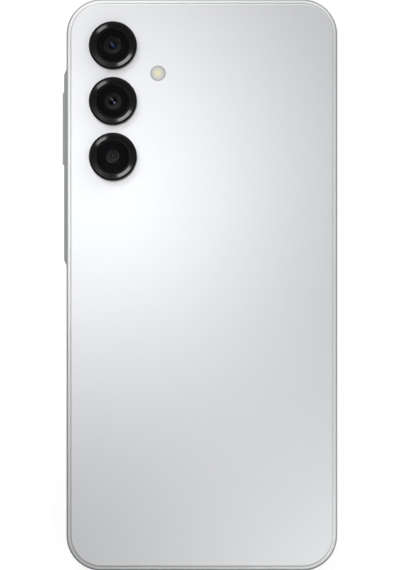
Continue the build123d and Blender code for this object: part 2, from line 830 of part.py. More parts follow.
names = ("ultrawide", "main", "macro")
for name, lens_y in zip(names, camera_ys):
    lens_axis = Axis((camera_x, lens_y, 0), (0, 0, 1))
    with BuildPart() as camera_ring:
        with BuildSketch(section_plane(camera_x, lens_y)):
            with BuildLine():
                crest = (ring_crest_radius, ring_top)
                shoulder = (ring_radius, ring_top - (ring_radius - ring_crest_radius))
                bore = window_radius - window_ledge
                recess = window_radius + window_gap
                TangentArc(shoulder, crest, tangent=(0, 1))
                Polyline(
                    crest,
                    (recess, ring_top - window_recess),
                    (recess, window_back),
                    (bore, window_back),
                    (bore, cover_front),
                    (ring_spigot_radius, cover_front),
                    (ring_spigot_radius, body_thickness),
                    (ring_radius, body_thickness),
                    shoulder,
                )
            make_face()
        revolve(axis=lens_axis)
    save(camera_ring, f"camera_ring_{name}")

    with BuildPart() as camera_window:
        with BuildSketch(Plane.XY.offset(window_back)):
            with Locations((camera_x, lens_y)):
                Circle(window_radius)
        extrude(amount=window_thickness)
    save(camera_window, f"camera_window_{name}")


def lens_funnel(lens_y, radius, aperture, top):
    """Returns what is cut from a lens barrel: its funnel and its glass's seat."""
    seat = top - lens_seat_depth
    with BuildPart() as funnel:
        with BuildSketch(section_plane(camera_x, lens_y)):
            with BuildLine():
                Polyline(
                    (0, top),
                    (radius - barrel_lip, top),
                    (aperture + lens_seat_margin, seat),
                    (aperture, seat),
                    (aperture, seat - lens_glass_thickness),
                    (0, seat - lens_glass_thickness),
                    (0, top),
                )
            make_face()
        revolve(axis=Axis((camera_x, lens_y, 0), (0, 0, 1)))
    return funnel


def lens_glass(lens_y, aperture, top):
    """Returns the domed front element that fills a barrel's aperture."""
    seat = top - lens_seat_depth
    with BuildPart() as glass:
        with BuildSketch(section_plane(camera_x, lens_y)):
            with BuildLine():
                Polyline(
                    (0, seat + lens_dome),
                    (0, seat - lens_glass_thickness),
                    (aperture, seat - lens_glass_thickness),
                    (aperture, seat),
                )
                TangentArc((0, seat + lens_dome), (aperture, seat), tangent=(1, 0))
            make_face()
        revolve(axis=Axis((camera_x, lens_y, 0), (0, 0, 1)))
    return glass


for name, lens_y, size, radius, aperture in (
    ("ultrawide", wide_y, wide_can_size, wide_barrel_radius, wide_aperture_radius),
    ("macro", macro_y, macro_can_size, macro_barrel_radius, macro_aperture_radius),
):
    with BuildPart() as camera_can:
        with BuildSketch(Plane.XY.offset(floor_back)):
            with Locations((camera_x, lens_y)):
                RectangleRounded(size, size, can_corner)
        extrude(amount=can_top - floor_back)
        with BuildSketch(Plane.XY.offset(floor_back + camera_base)):
            with Locations((camera_x, lens_y)):
                Circle(radius)
        extrude(amount=can_top - floor_back - camera_base, mode=Mode.SUBTRACT)
    save(camera_can, f"{name}_camera_can")

    with BuildPart() as camera_barrel:
        with BuildSketch(Plane.XY.offset(floor_back + camera_base)):
            with Locations((camera_x, lens_y)):
                Circle(radius)
        extrude(amount=barrel_top - floor_back - camera_base)
        add(lens_funnel(lens_y, radius, aperture, barrel_top).part, mode=Mode.SUBTRACT)
    save(camera_barrel, f"{name}_camera_barrel")

    save(lens_glass(lens_y, aperture, barrel_top), f"{name}_camera_glass")

# The main camera's barrel slides in its can to focus, so it stops short of the window.
focus_top = barrel_top - focus_travel
carrier_radius = main_can_size / 2 - can_wall - carrier_side_gap
carrier_front = floor_back + camera_base + focus_rest_gap
carrier_back = can_top - can_wall - focus_travel - carrier_top_gap

with BuildPart() as main_camera_can:
    with BuildSketch(Plane.XY.offset(floor_back)):
        with Locations((camera_x, main_y)):
            RectangleRounded(main_can_size, main_can_size, main_can_corner)
    extrude(amount=can_top - floor_back)
    inner = main_can_size - 2 * can_wall
    with BuildSketch(Plane.XY.offset(floor_back + camera_base)):
        with Locations((camera_x, main_y)):
            RectangleRounded(inner, inner, main_can_inner_corner)
    extrude(amount=can_top - can_wall - floor_back - camera_base, mode=Mode.SUBTRACT)
    with BuildSketch(Plane.XY.offset(can_top)):
        with Locations((camera_x, main_y)):
            Circle(main_barrel_radius + focus_bore_gap)
    extrude(amount=-2 * can_wall, mode=Mode.SUBTRACT)
save(main_camera_can, "main_camera_can")

with BuildPart() as main_camera_barrel:
    for radius, low, high in (
        (carrier_radius, carrier_front, carrier_back),
        (main_barrel_radius, carrier_back, focus_top),
    ):
        with BuildSketch(Plane.XY.offset(low)):
            with Locations((camera_x, main_y)):
                Circle(radius)
        extrude(amount=high - low)
    funnel = lens_funnel(main_y, main_barrel_radius, main_aperture_radius, focus_top)
    add(funnel.part, mode=Mode.SUBTRACT)
save(main_camera_barrel, "main_camera_barrel")

main_camera_glass = lens_glass(main_y, main_aperture_radius, focus_top)
save(main_camera_glass, "main_camera_glass")

# ================================================================ flash and front camera

with BuildPart() as flash_lens:
    flash_top = body_thickness + flash_proud
    with BuildSketch(Plane.XY.offset(flash_top)):
        with Locations((flash_x, flash_y)):
            Circle(flash_radius)
    extrude(amount=-flash_lens_depth)
    fillet(flash_lens.edges().group_by(Axis.Z)[-1], flash_edge_round)
    with BuildSketch(Plane.XY.offset(cover_front)):
        with Locations((flash_x, flash_y)):
            Circle(flash_radius + flash_flange)
    extrude(amount=-flash_flange_thickness)
save(flash_lens, "flash_lens")

with BuildPart() as flash_led:
    for size, low, high in (
        (led_board_size, bracket_front - led_board_thickness, bracket_front),
        (led_size, bracket_front, bracket_front + led_height),
    ):
        with BuildSketch(Plane.XY.offset(low)):
            with Locations((flash_x, flash_y)):
                Rectangle(size, size)
        extrude(amount=high - low)
save(flash_led, "flash_led")

with BuildPart() as front_camera_can:
    with BuildSketch(Plane.XY.offset(floor_back)):
        with Locations((0, front_camera_y)):
            RectangleRounded(front_camera_size, front_camera_size, front_can_corner)
    extrude(amount=bracket_front - floor_back)
save(front_camera_can, "front_camera_can")

with BuildPart() as front_camera_barrel:
    tip = glass_thickness + front_tip_gap
    step = glass_thickness + front_step_gap
    funnel_end = tip + front_funnel_depth
    for radius, low, high in (
        (front_tip_radius, tip, step),
        (front_barrel_radius, step, floor_back),
    ):
        with BuildSketch(Plane.XY.offset(low)):
            with Locations((0, front_camera_y)):
                Circle(radius)
        extrude(amount=high - low)
    with BuildSketch(section_plane(0, front_camera_y)):
        with BuildLine():
            Polyline(
                (0, tip),
                (front_tip_radius - front_lip, tip),
                (front_aperture_radius, funnel_end),
                (0, funnel_end),
            )
            Line((0, funnel_end), (0, tip))
        make_face()
    revolve(axis=Axis((0, front_camera_y, 0), (0, 0, 1)), mode=Mode.SUBTRACT)
save(front_camera_barrel, "front_camera_barrel")

# ================================================================ battery

with BuildPart() as battery_adhesive:
    for strip_x in (-battery_x / 2, battery_x / 2):
        box_between(
            (strip_x - battery_x / 4, battery_low_y + battery_tape_margin, floor_back),
            (strip_x + battery_x / 4, battery_high_y - battery_tape_margin, battery_front),
        )
save(battery_adhesive, "battery_adhesive")

with BuildPart() as battery_cell:
    box_between(
        (-battery_x, battery_low_y, battery_front), (battery_x, battery_high_y, battery_back)
    )
    fillet(battery_cell.edges().filter_by(Axis.Y), battery_round)
    box_between(
        (-battery_x, battery_high_y - battery_terrace, circuit_front),
        (battery_x, battery_high_y, battery_back),
        Mode.SUBTRACT,
    )
save(battery_cell, "battery_cell")

battery_tail = ribbon(
    battery_ribbon_x,
    battery_ribbon_width,
    (
        (battery_high_y - battery_terrace / 2, circuit_back + ribbon_thickness / 2),
        (main_rib_y + ribbon_gap, circuit_back + ribbon_thickness / 2),
        (main_rib_y + ribbon_gap, ribbon_back),
        (main_connector_y + connector_width / 2, ribbon_back),
    ),
)

with BuildPart() as battery_flex:
    half = battery_circuit_length / 2
    box_between(
        (
            battery_ribbon_x - half,
            battery_high_y - battery_terrace + circuit_front_inset,
            circuit_front,
        ),
        (battery_ribbon_x + half, battery_high_y - circuit_end_inset, circuit_back),
    )
    add(battery_tail.part)
save(battery_flex, "battery_flex")

# ================================================================ boards

with BuildPart() as main_board:
    board_x = bay_x - board_gap
    board_y = bay_y - board_gap
    corner = bay_x - corner_radius + side_wall
    board_left = camera_x + wide_can_size / 2 + board_camera_gap
    board_step_x = earpiece_x + earpiece_length / 2 + board_earpiece_side_gap
    board_step_y = earpiece_y - earpiece_width / 2 - board_earpiece_gap
    with BuildSketch(Plane.XY.offset(board_front)):
        with BuildLine():
            Polyline(
                (board_left, main_rib_y + board_gap),
                (board_x, main_rib_y + board_gap),
                (board_x, bay_y - bay_x + corner),
                (corner, board_y),
                (board_step_x, board_y),
                (board_step_x, board_step_y),
                (board_left, board_step_y),
                close=True,
            )
        make_face()
        with Locations(*boss_places):
            Circle(boss_radius + board_hole_gap, mode=Mode.SUBTRACT)
    extrude(amount=board_thickness)
save(main_board, "main_board")

with BuildPart() as sub_board:
    with BuildSketch(Plane.XY.offset(board_front)):
        with BuildLine():
            Polyline(
                (speaker_side_x + board_gap, sub_rib_y - board_gap),
                (board_x, sub_rib_y - board_gap),
                (board_x, -(bay_y - bay_x + corner)),
                (corner, -board_y),
                (speaker_side_x + board_gap, -board_y),
                close=True,
            )
        make_face()
        with Locations(*boss_places):
            Circle(boss_radius + board_hole_gap, mode=Mode.SUBTRACT)
        with Locations((0, -board_y)):
            Rectangle(
                port_outer_width + 2 * board_hole_gap,
                2 * (port_back_y + board_y + board_hole_gap),
                mode=Mode.SUBTRACT,
            )
        with Locations((motor_x, motor_y)):
            Circle(motor_radius + board_hole_gap, mode=Mode.SUBTRACT)
        with Locations((display_ribbon_x, sub_rib_y)):
            Rectangle(
                2 * ribbon_half, 2 * (ribbon_gap + ribbon_notch), mode=Mode.SUBTRACT
            )
    extrude(amount=board_thickness)
save(sub_board, "sub_board")

with BuildPart() as main_board_shields:
    for low, high in (
        (
            (board_left + shield_margin, main_connector_y + shield_connector_gap),
            (socket_x - shield_margin, board_step_y - shield_margin),
        ),
        (
            (board_step_x + shield_margin, socket_high_y + socket_sheet + shield_socket_gap),
            (board_x - shield_margin, board_step_y - shield_margin),
        ),
    ):
        top = board_back + shield_height
        box_between((*low, board_back), (*high, top))
        box_between(
            (low[0] + shield_wall, low[1] + shield_wall, board_back),
            (high[0] - shield_wall, high[1] - shield_wall, top - shield_wall),
            Mode.SUBTRACT,
        )
save(main_board_shields, "main_board_shields")

with BuildPart() as board_connectors:
    with BuildSketch(Plane.XY.offset(board_back)):
        with Locations(
            (display_ribbon_x, sub_connector_y),
            (link_ribbon_x, sub_connector_y),
            (link_ribbon_x, main_connector_y),
            (battery_ribbon_x, main_connector_y),
        ):
            Rectangle(connector_length, connector_width)
    extrude(amount=connector_height)
save(board_connectors, "board_connectors")

over_battery = battery_back + ribbon_thickness / 2
board_link_flex = ribbon(
    link_ribbon_x,
    link_ribbon_width,
    (
        (sub_connector_y - connector_width / 2, ribbon_back),
        (sub_rib_y - ribbon_gap, ribbon_back),
        (sub_rib_y - ribbon_gap, over_battery),
        (main_rib_y + ribbon_gap, over_battery),
        (main_rib_y + ribbon_gap, ribbon_back),
        (main_connector_y + connector_width / 2, ribbon_back),
    ),
)
save(board_link_flex, "board_link_flex")

with BuildPart() as antenna_cable:
    with BuildLine(Plane.XY.offset(cable_z)) as cable_line:
        FilletPolyline(
            cable_low,
            (cable_x, cable_low[1]),
            (cable_x, cable_high[1]),
            cable_high,
            radius=cable_bend,
        )
    cable_path = cable_line.wire()
    with BuildSketch(Plane(origin=cable_path @ 0, z_dir=cable_path % 0)):
        Circle(cable_radius)
    sweep(path=cable_path)
    with BuildSketch(Plane.XY.offset(board_back)):
        with Locations(cable_low, cable_high):
            Circle(cable_plug_radius)
    extrude(amount=cable_plug_height)
save(antenna_cable, "antenna_cable")

# ================================================================ charging port

with BuildPart() as usb_port_shell:
    with BuildSketch(end_plane(0, port_front_y, port_z, -1)):
        SlotOverall(port_outer_width, port_outer_height)
    extrude(amount=-port_depth)
    with BuildSketch(end_plane(0, port_front_y, port_z, -1)):
        SlotOverall(port_width, port_height)
    extrude(amount=-(port_depth - port_shell), mode=Mode.SUBTRACT)
    ear_high_y = port_back_y - port_ear_inset
    for side in (-1, 1):
        inner_x = side * (port_outer_width / 2 - port_ear_overlap)
        outer_x = side * (port_outer_width / 2 + port_ear)
        box_between(
            (min(inner_x, outer_x), ear_high_y - port_ear_length, board_back),
            (max(inner_x, outer_x), ear_high_y, board_back + port_shell),
        )
    with BuildSketch(end_plane(0, port_front_y, port_z, -1)):
        SlotOverall(port_width, port_height)
    extrude(amount=-(port_depth - port_shell), mode=Mode.SUBTRACT)
save(usb_port_shell, "usb_port_shell")

with BuildPart() as usb_port_tongue:
    root_y = port_back_y - port_shell
    with BuildSketch(end_plane(0, root_y, port_z, -1)):
        SlotOverall(port_width, port_height)
    extrude(amount=tongue_base)
    with BuildSketch(end_plane(0, root_y - tongue_base, port_z, -1)):
        RectangleRounded(tongue_width, tongue_thickness, tongue_corner)
    extrude(amount=tongue_length)
save(usb_port_tongue, "usb_port_tongue")

# ================================================================ sound and vibration

with BuildPart() as loudspeaker_box:
    inner_x = speaker_width / 2 - speaker_wall
    box_between(
        (speaker_x - speaker_width / 2, speaker_low_y, floor_back),
        (speaker_x + speaker_width / 2, speaker_high_y, bracket_front),
    )
    box_between(
        (speaker_x - inner_x, speaker_low_y + speaker_wall, floor_back + speaker_wall),
        (speaker_x + inner_x, speaker_high_y - speaker_wall, bracket_front - speaker_wall),
        Mode.SUBTRACT,
    )
    with BuildSketch(end_plane(speaker_x, speaker_low_y, port_z, -1)):
        Rectangle(speaker_grille_length, speaker_slot_height)
    extrude(amount=-speaker_wall, mode=Mode.SUBTRACT)
save(loudspeaker_box, "loudspeaker_box")

with BuildPart() as loudspeaker_diaphragm:
    half_x = inner_x - diaphragm_gap
    middle = (floor_back + bracket_front) / 2
    box_between(
        (
            speaker_x - half_x,
            speaker_low_y + speaker_wall + diaphragm_gap,
            middle - diaphragm_thickness / 2,
        ),
        (
            speaker_x + half_x,
            speaker_high_y - speaker_wall - diaphragm_gap,
            middle + diaphragm_thickness / 2,
        ),
    )
    fillet(loudspeaker_diaphragm.edges().filter_by(Axis.Z), diaphragm_corner)
save(loudspeaker_diaphragm, "loudspeaker_diaphragm")

with BuildPart() as loudspeaker_mesh:
    with BuildSketch(end_plane(speaker_x, -bay_y, port_z, 1)):
        Rectangle(
            speaker_grille_length + 2 * speaker_mesh_margin,
            speaker_slot_height + 2 * speaker_mesh_margin,
        )
    extrude(amount=mesh_thickness)
save(loudspeaker_mesh, "loudspeaker_mesh")

with BuildPart() as microphones:
    with BuildSketch(Plane.XY.offset(board_back)):
        with Locations(
            (bottom_mic_x, -board_y + mic_width / 2), (top_mic_x, board_y - mic_width / 2)
        ):
            Rectangle(mic_length, mic_width)
    extrude(amount=mic_height)
save(microphones, "microphones")

with BuildPart() as earpiece_speaker:
    with BuildSketch(Plane.XY.offset(floor_back)):
        with Locations((earpiece_x, earpiece_y)):
            RectangleRounded(earpiece_length, earpiece_width, earpiece_corner)
    extrude(amount=earpiece_height)
save(earpiece_speaker, "earpiece_speaker")

with BuildPart() as earpiece_mesh:
    box_between(
        (
            -earpiece_slot_length / 2 - earpiece_mesh_margin,
            bay_y + earpiece_mesh_inset,
            glass_thickness,
        ),
        (
            earpiece_slot_length / 2 + earpiece_mesh_margin,
            slit_y + earpiece_slot_width,
            glass_thickness + mesh_thickness,
        ),
    )
save(earpiece_mesh, "earpiece_mesh")

with BuildPart() as vibration_motor_case:
    with BuildSketch(Plane.XY.offset(floor_back)):
        with Locations((motor_x, motor_y)):
            Circle(motor_radius)
    extrude(amount=motor_height)
    with BuildSketch(Plane.XY.offset(floor_back + motor_wall)):
        with Locations((motor_x, motor_y)):
            Circle(motor_radius - motor_wall)
            Circle(motor_shaft_radius, mode=Mode.SUBTRACT)
    extrude(amount=motor_height - 2 * motor_wall, mode=Mode.SUBTRACT)
save(vibration_motor_case, "vibration_motor_case")

with BuildPart() as vibration_rotor:
    rotor_radius = motor_radius - motor_wall - rotor_gap
    with BuildSketch(Plane.XY.offset(floor_back + motor_wall + rotor_gap)):
        with Locations((motor_x, motor_y)):
            Circle(rotor_radius)
        with Locations((motor_x, motor_y - rotor_radius / 2)):
            Rectangle(2 * rotor_radius, rotor_radius, mode=Mode.SUBTRACT)
        with Locations((motor_x, motor_y)):
            Circle(3 * motor_shaft_radius)
            Circle(motor_shaft_radius + motor_running_gap, mode=Mode.SUBTRACT)
    extrude(amount=motor_height - 2 * (motor_wall + rotor_gap))
save(vibration_rotor, "vibration_rotor")

# ================================================================ keys

with BuildPart() as power_key:
    flange_x = key_wall_x + power_flange_gap
    with BuildSketch(side_plane(island_x, power_y, key_z, -1)):
        RectangleRounded(power_length, power_height, power_corner)
    extrude(amount=-(flange_x - island_x))
    fillet(power_key.edges().group_by(Axis.X)[0], power_edge_round)
    half = power_length / 2 + key_flange_margin
    box_between(
        (flange_x, power_y - half, key_z - power_flange_height / 2),
        (flange_x + key_flange, power_y + half, key_z + power_flange_height / 2),
    )
    with BuildSketch(side_plane(flange_x + key_flange, power_y, key_z, 1)):
        RectangleRounded(plunger_length, plunger_width, plunger_corner)
    extrude(amount=switch_x - power_travel - switch_gap - flange_x - key_flange)
    with BuildSketch(side_plane(island_x, power_y, key_z, -1)):
        RectangleRounded(sensor_length, sensor_height, sensor_corner)
    extrude(amount=-sensor_thickness, mode=Mode.SUBTRACT)
save(power_key, "power_key")

with BuildPart() as fingerprint_sensor:
    with BuildSketch(side_plane(island_x + sensor_thickness, power_y, key_z, -1)):
        RectangleRounded(sensor_length, sensor_height, sensor_corner)
    extrude(amount=sensor_thickness)
save(fingerprint_sensor, "fingerprint_sensor")

with BuildPart() as volume_key:
    flange_x = key_wall_x + volume_flange_gap
    key_face_x = island_x - volume_proud
    with BuildSketch(side_plane(key_face_x, volume_y, key_z, -1)):
        RectangleRounded(volume_length, volume_height, volume_corner)
    extrude(amount=-(flange_x - key_face_x))
    fillet(volume_key.edges().group_by(Axis.X)[0], volume_edge_round)
    half = volume_length / 2 + key_flange_margin
    rise = volume_flange_height / 2
    back_x = flange_x + key_flange
    box_between(
        (flange_x, volume_y - half, key_z - rise), (back_x, volume_y + half, key_z + rise)
    )
    with BuildSketch(side_plane(back_x, volume_y, key_z, 1)):
        with GridLocations(volume_switch_pitch, 0, 2, 1):
            RectangleRounded(plunger_length, plunger_width, plunger_corner)
    extrude(amount=switch_x - volume_swing - switch_gap - back_x)
    # The nub it rocks on.
    box_between(
        (back_x, volume_y - fulcrum_radius, key_z - fulcrum_half),
        (fulcrum_x, volume_y + fulcrum_radius, key_z + fulcrum_half),
    )
    with BuildSketch(Plane.XY.offset(key_z - fulcrum_half)):
        with Locations((fulcrum_x, volume_y)):
            Circle(fulcrum_radius)
    extrude(amount=2 * fulcrum_half)
save(volume_key, "volume_key")

switch_places = (
    power_y,
    volume_y - volume_switch_pitch / 2,
    volume_y + volume_switch_pitch / 2,
)

with BuildPart() as key_switches:
    for switch_y in switch_places:
        with BuildSketch(side_plane(key_flex_front_x, switch_y, key_z, -1)):
            RectangleRounded(switch_length, switch_width, switch_corner)
        extrude(amount=switch_height)
save(key_switches, "key_switches")

tail_y = (main_y + macro_y) / 2
tail_end_x = board_left + key_tail_reach

with BuildPart() as key_flex:
    box_between(
        (key_flex_front_x, key_plate_low_y + key_plate_foot, floor_back),
        (key_plate_x, key_plate_high_y - key_plate_foot, key_plate_top - key_flex_inset),
    )
    box_between(
        (key_flex_front_x, tail_y - key_tail_half, floor_back),
        (tail_end_x, tail_y + key_tail_half, floor_back + key_flex_thickness),
    )
    box_between(
        (tail_end_x - key_tail_landing, tail_y - key_tail_half, floor_back),
        (tail_end_x, tail_y + key_tail_half, board_front),
    )
save(key_flex, "key_flex")

with BuildPart() as key_bracket:
    box_between(
        (key_plate_x, key_plate_low_y, floor_back),
        (key_plate_back_x, key_plate_high_y, key_plate_top),
    )
    for foot_low_y in (key_plate_low_y, key_plate_high_y - key_plate_foot):
        box_between(
            (-bay_x, foot_low_y, floor_back),
            (key_plate_x, foot_low_y + key_plate_foot, key_plate_top),
        )
    box_between(
        (key_plate_x, tail_y - key_tail_half - key_tail_room, floor_back),
        (
            key_plate_back_x,
            tail_y + key_tail_half + key_tail_room,
            floor_back + key_flex_thickness + key_tail_room,
        ),
        Mode.SUBTRACT,
    )
save(key_bracket, "key_bracket")

# ================================================================ card tray and its ejector

with BuildPart() as sim_tray:
    with BuildSketch(side_plane(side_x, tray_y, tray_z, 1)):
        SlotOverall(tray_bezel_length, tray_bezel_height)
    extrude(amount=-tray_bezel_depth)
    fillet(sim_tray.edges().group_by(Axis.X)[-1], tray_edge_round)
    box_between(
        (tray_end_x, tray_low_y, tray_z - tray_thickness / 2),
        (bezel_x, tray_high_y, tray_z + tray_thickness / 2),
    )
    pocket_x = bezel_x - card_bezel_gap
    for length, width in ((card_length, card_width), (sim_length, sim_width)):
        for ledge, low_z in ((0, tray_z - tray_thickness / 2 + card_floor), (card_ledge, 0)):
            box_between(
                (pocket_x - length + ledge, tray_plate_y - width / 2 + ledge, low_z),
                (pocket_x - ledge, tray_plate_y + width / 2 - ledge, body_thickness),
                Mode.SUBTRACT,
            )
        pocket_x -= length + card_gap
    with BuildSketch(side_plane(side_x, eject_y, tray_z, 1)):
        Circle(eject_hole_radius)
    extrude(amount=-tray_bezel_depth, mode=Mode.SUBTRACT)
save(sim_tray, "sim_tray")

with BuildPart() as sim_tray_seal:
    with BuildSketch(side_plane(bezel_x - seal_offset, tray_plate_y, tray_z, 1)):
        band = 2 * (tray_gap - seal_gap)
        RectangleRounded(tray_width + band, tray_thickness + band, seal_corner)
        Rectangle(tray_width, tray_thickness, mode=Mode.SUBTRACT)
    extrude(amount=-seal_width)
save(sim_tray_seal, "sim_tray_seal")

with BuildPart() as sim_socket:
    box_between(
        (socket_x, socket_low_y - socket_sheet, board_back),
        (socket_open_x, socket_high_y + socket_sheet, socket_back + socket_sheet),
    )
    box_between(
        (socket_x + socket_sheet, socket_low_y, board_back),
        (socket_open_x, socket_high_y, socket_back),
        Mode.SUBTRACT,
    )
    for guide_x in (tray_end_x + guide_inset, socket_open_x - guide_open_inset):
        box_between(
            (guide_x, socket_low_y, board_back),
            (guide_x + guide_width, tray_low_y - guide_gap, socket_back),
        )
    with BuildSketch(side_plane(socket_x + lever_bay, eject_y, tray_z, 1)):
        Circle(eject_rod_radius + eject_rod_gap)
    extrude(amount=tray_length, mode=Mode.SUBTRACT)
    with BuildSketch(Plane.XY.offset(board_back)):
        with Locations((pivot_x, pivot_y)):
            Circle(pivot_radius)
    extrude(amount=socket_back - board_back)
save(sim_socket, "sim_socket")

with BuildPart() as eject_rod:
    with BuildSketch(side_plane(rod_end_x, eject_y, tray_z, 1)):
        Circle(eject_rod_radius)
    extrude(amount=bezel_x - eject_rod_recess - rod_end_x)
save(eject_rod, "eject_rod")

with BuildPart() as eject_lever:
    rod_nose = (rod_nose_x, eject_y)
    tray_nose = (tray_nose_x, pivot_y + lever_reach)
    with BuildSketch(Plane.XY.offset(tray_z - lever_thickness / 2)):
        with BuildLine():
            Polyline(rod_nose, (pivot_x, pivot_y), tray_nose)
        trace(line_width=2 * lever_nose)
        with Locations(rod_nose, tray_nose):
            Circle(lever_nose)
        with Locations((pivot_x, pivot_y)):
            Circle(lever_hub)
            Circle(pivot_radius + pivot_gap, mode=Mode.SUBTRACT)
    extrude(amount=lever_thickness)
save(eject_lever, "eject_lever")

# ================================================================ inner brackets and screws


def bracket_plate(low_y, high_y):
    """Draws a bracket over one end of the bay, between two heights along it."""
    outline(side_wall + bracket_clearance)
    with Locations((0, (low_y + high_y) / 2)):
        Rectangle(body_width, high_y - low_y, mode=Mode.INTERSECT)


# What is cut from the brackets for the screws and their heads.
with BuildPart() as screw_recesses:
    for radius, depth in (
        (screw_radius + screw_hole_gap, bracket_thickness),
        (screw_head_radius + screw_hole_gap, screw_head_height),
    ):
        with BuildSketch(Plane.XY.offset(bracket_back)):
            with Locations(*boss_places):
                Circle(radius)
        extrude(amount=-depth)

with BuildPart() as upper_bracket:
    with BuildSketch(Plane.XY.offset(bracket_front)):
        bracket_plate(main_rib_y + bracket_rib_gap, end_y)
        for lens_y, size in (
            (wide_y, wide_can_size),
            (main_y, main_can_size),
            (macro_y, macro_can_size),
        ):
            opening = size + 2 * can_opening_gap
            with Locations((camera_x, lens_y)):
                RectangleRounded(opening, opening, can_opening_corner, mode=Mode.SUBTRACT)
        with Locations((flash_x, flash_y)):
            Circle(flash_radius + flash_bracket_gap, mode=Mode.SUBTRACT)
        for ribbon_x, width in (
            (link_ribbon_x, link_ribbon_width),
            (battery_ribbon_x, battery_ribbon_width),
        ):
            with Locations((ribbon_x, main_rib_y)):
                Rectangle(
                    width + 2 * bracket_notch_side,
                    2 * (ribbon_gap + bracket_notch),
                    mode=Mode.SUBTRACT,
                )
    extrude(amount=bracket_thickness)
    add(screw_recesses.part, mode=Mode.SUBTRACT)
save(upper_bracket, "upper_bracket")

with BuildPart() as lower_bracket:
    with BuildSketch(Plane.XY.offset(bracket_front)):
        bracket_plate(-end_y, sub_rib_y - bracket_rib_gap)
        with Locations((link_ribbon_x, sub_rib_y)):
            Rectangle(
                link_ribbon_width + 2 * bracket_notch_side,
                2 * (ribbon_gap + bracket_notch),
                mode=Mode.SUBTRACT,
            )
    extrude(amount=bracket_thickness)
    add(screw_recesses.part, mode=Mode.SUBTRACT)
save(lower_bracket, "lower_bracket")

with BuildPart() as bracket_screws:
    for radius, depth in (
        (screw_head_radius, screw_head_height),
        (screw_radius, screw_head_height + screw_length),
    ):
        with BuildSketch(Plane.XY.offset(bracket_back)):
            with Locations(*boss_places):
                Circle(radius)
        extrude(amount=-depth)
save(bracket_screws, "bracket_screws")
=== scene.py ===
"""A slab smartphone lying screen down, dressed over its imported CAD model.

Places are in the part's own frame: X across the width with the keys at -X, Y along the length
with the cameras at +Y, and Z up from the screen's face to the back cover. Sizes of the pieces are
written in millimetres and turned into metres where a mesh is made. The set is in metres.
"""

import json
import logging
import math
from collections.abc import Callable, Iterator, Sequence
from contextlib import contextmanager
from dataclasses import dataclass, replace
from enum import Enum

import bmesh
import bpy
from mathutils import Matrix, Vector

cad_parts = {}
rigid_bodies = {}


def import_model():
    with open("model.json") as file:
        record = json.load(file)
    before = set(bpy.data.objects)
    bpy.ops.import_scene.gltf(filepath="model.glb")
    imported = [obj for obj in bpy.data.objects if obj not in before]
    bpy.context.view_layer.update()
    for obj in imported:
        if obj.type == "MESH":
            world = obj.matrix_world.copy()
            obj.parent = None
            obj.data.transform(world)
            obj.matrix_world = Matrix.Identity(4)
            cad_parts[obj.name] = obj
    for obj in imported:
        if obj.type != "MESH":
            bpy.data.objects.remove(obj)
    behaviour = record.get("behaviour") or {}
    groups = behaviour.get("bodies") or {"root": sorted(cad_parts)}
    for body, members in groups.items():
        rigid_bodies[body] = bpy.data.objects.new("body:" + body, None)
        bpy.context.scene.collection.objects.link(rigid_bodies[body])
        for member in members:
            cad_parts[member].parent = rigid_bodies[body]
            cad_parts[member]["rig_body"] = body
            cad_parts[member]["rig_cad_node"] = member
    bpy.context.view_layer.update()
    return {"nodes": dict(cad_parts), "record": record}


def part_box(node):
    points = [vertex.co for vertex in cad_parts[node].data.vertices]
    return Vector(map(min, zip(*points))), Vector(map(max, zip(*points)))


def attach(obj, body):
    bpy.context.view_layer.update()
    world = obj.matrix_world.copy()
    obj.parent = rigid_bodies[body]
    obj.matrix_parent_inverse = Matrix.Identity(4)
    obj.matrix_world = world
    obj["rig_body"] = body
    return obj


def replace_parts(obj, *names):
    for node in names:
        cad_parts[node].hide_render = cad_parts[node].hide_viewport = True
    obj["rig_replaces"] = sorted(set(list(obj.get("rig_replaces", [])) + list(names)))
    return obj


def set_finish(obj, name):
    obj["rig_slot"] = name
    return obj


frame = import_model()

MM = 0.001
MERGE_DISTANCE = 1e-6  # metres
LEVEL_TOLERANCE = 1e-7  # metres
SMOOTH_ANGLE = 32.0  # degrees; sharper edges stay sharp
ALONG_AXIS = 0.99  # cosine past which an edge counts as running along an axis
ARC_STEPS = 10
ROD_SIDES = 64
ROD_LENGTH = 4.0

COVER_INSIDE = 7.1
COVER_OUTSIDE = 7.9
CAMERA_PLACES = {"ultrawide": (-25.6, 68.93), "main": (-25.6, 52.93), "macro": (-25.6, 36.93)}
FLASH_PLACE = (-12.58, 60.89)

log = logging.getLogger("smartphone")

Piece = bpy.types.Object
Node = bpy.types.Node
Socket = bpy.types.NodeSocket
Inputs = dict[str | int, object]
Pair = tuple[float, float]
Colour = tuple[float, float, float]
Point = tuple[float, float, float]


class Body(Enum):
    """The CAD bodies that pieces ride on."""

    PHONE = "phone_body"
    POWER_KEY = "power_key"
    VOLUME_KEY = "volume_key"
    TRAY = "sim_tray"
    MAIN_LENS = "main_lens"


# ---------------------------------------------------------------- workbench


def mm(*values: float) -> tuple[float, ...]:
    """Turns millimetres into metres."""
    return tuple(value * MM for value in values)


def node_box(node: str) -> tuple[Vector, Vector]:
    """Returns a CAD node's lowest and highest corners, in millimetres."""
    low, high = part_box(node)
    return low / MM, high / MM


def activate(*pieces: Piece) -> None:
    """Makes these the only selected objects, and the first one active."""
    bpy.ops.object.select_all(action="DESELECT")
    for piece in pieces:
        piece.select_set(True)
    bpy.context.view_layer.objects.active = pieces[0]


@contextmanager
def edit_mode(piece: Piece) -> Iterator[None]:
    """Opens a piece in edit mode with nothing selected, and closes it afterwards.

    Args:
        piece: The mesh object to open.
    """
    activate(piece)
    bpy.ops.object.mode_set(mode="EDIT")
    bpy.ops.mesh.select_all(action="DESELECT")
    yield
    bpy.ops.object.mode_set(mode="OBJECT")


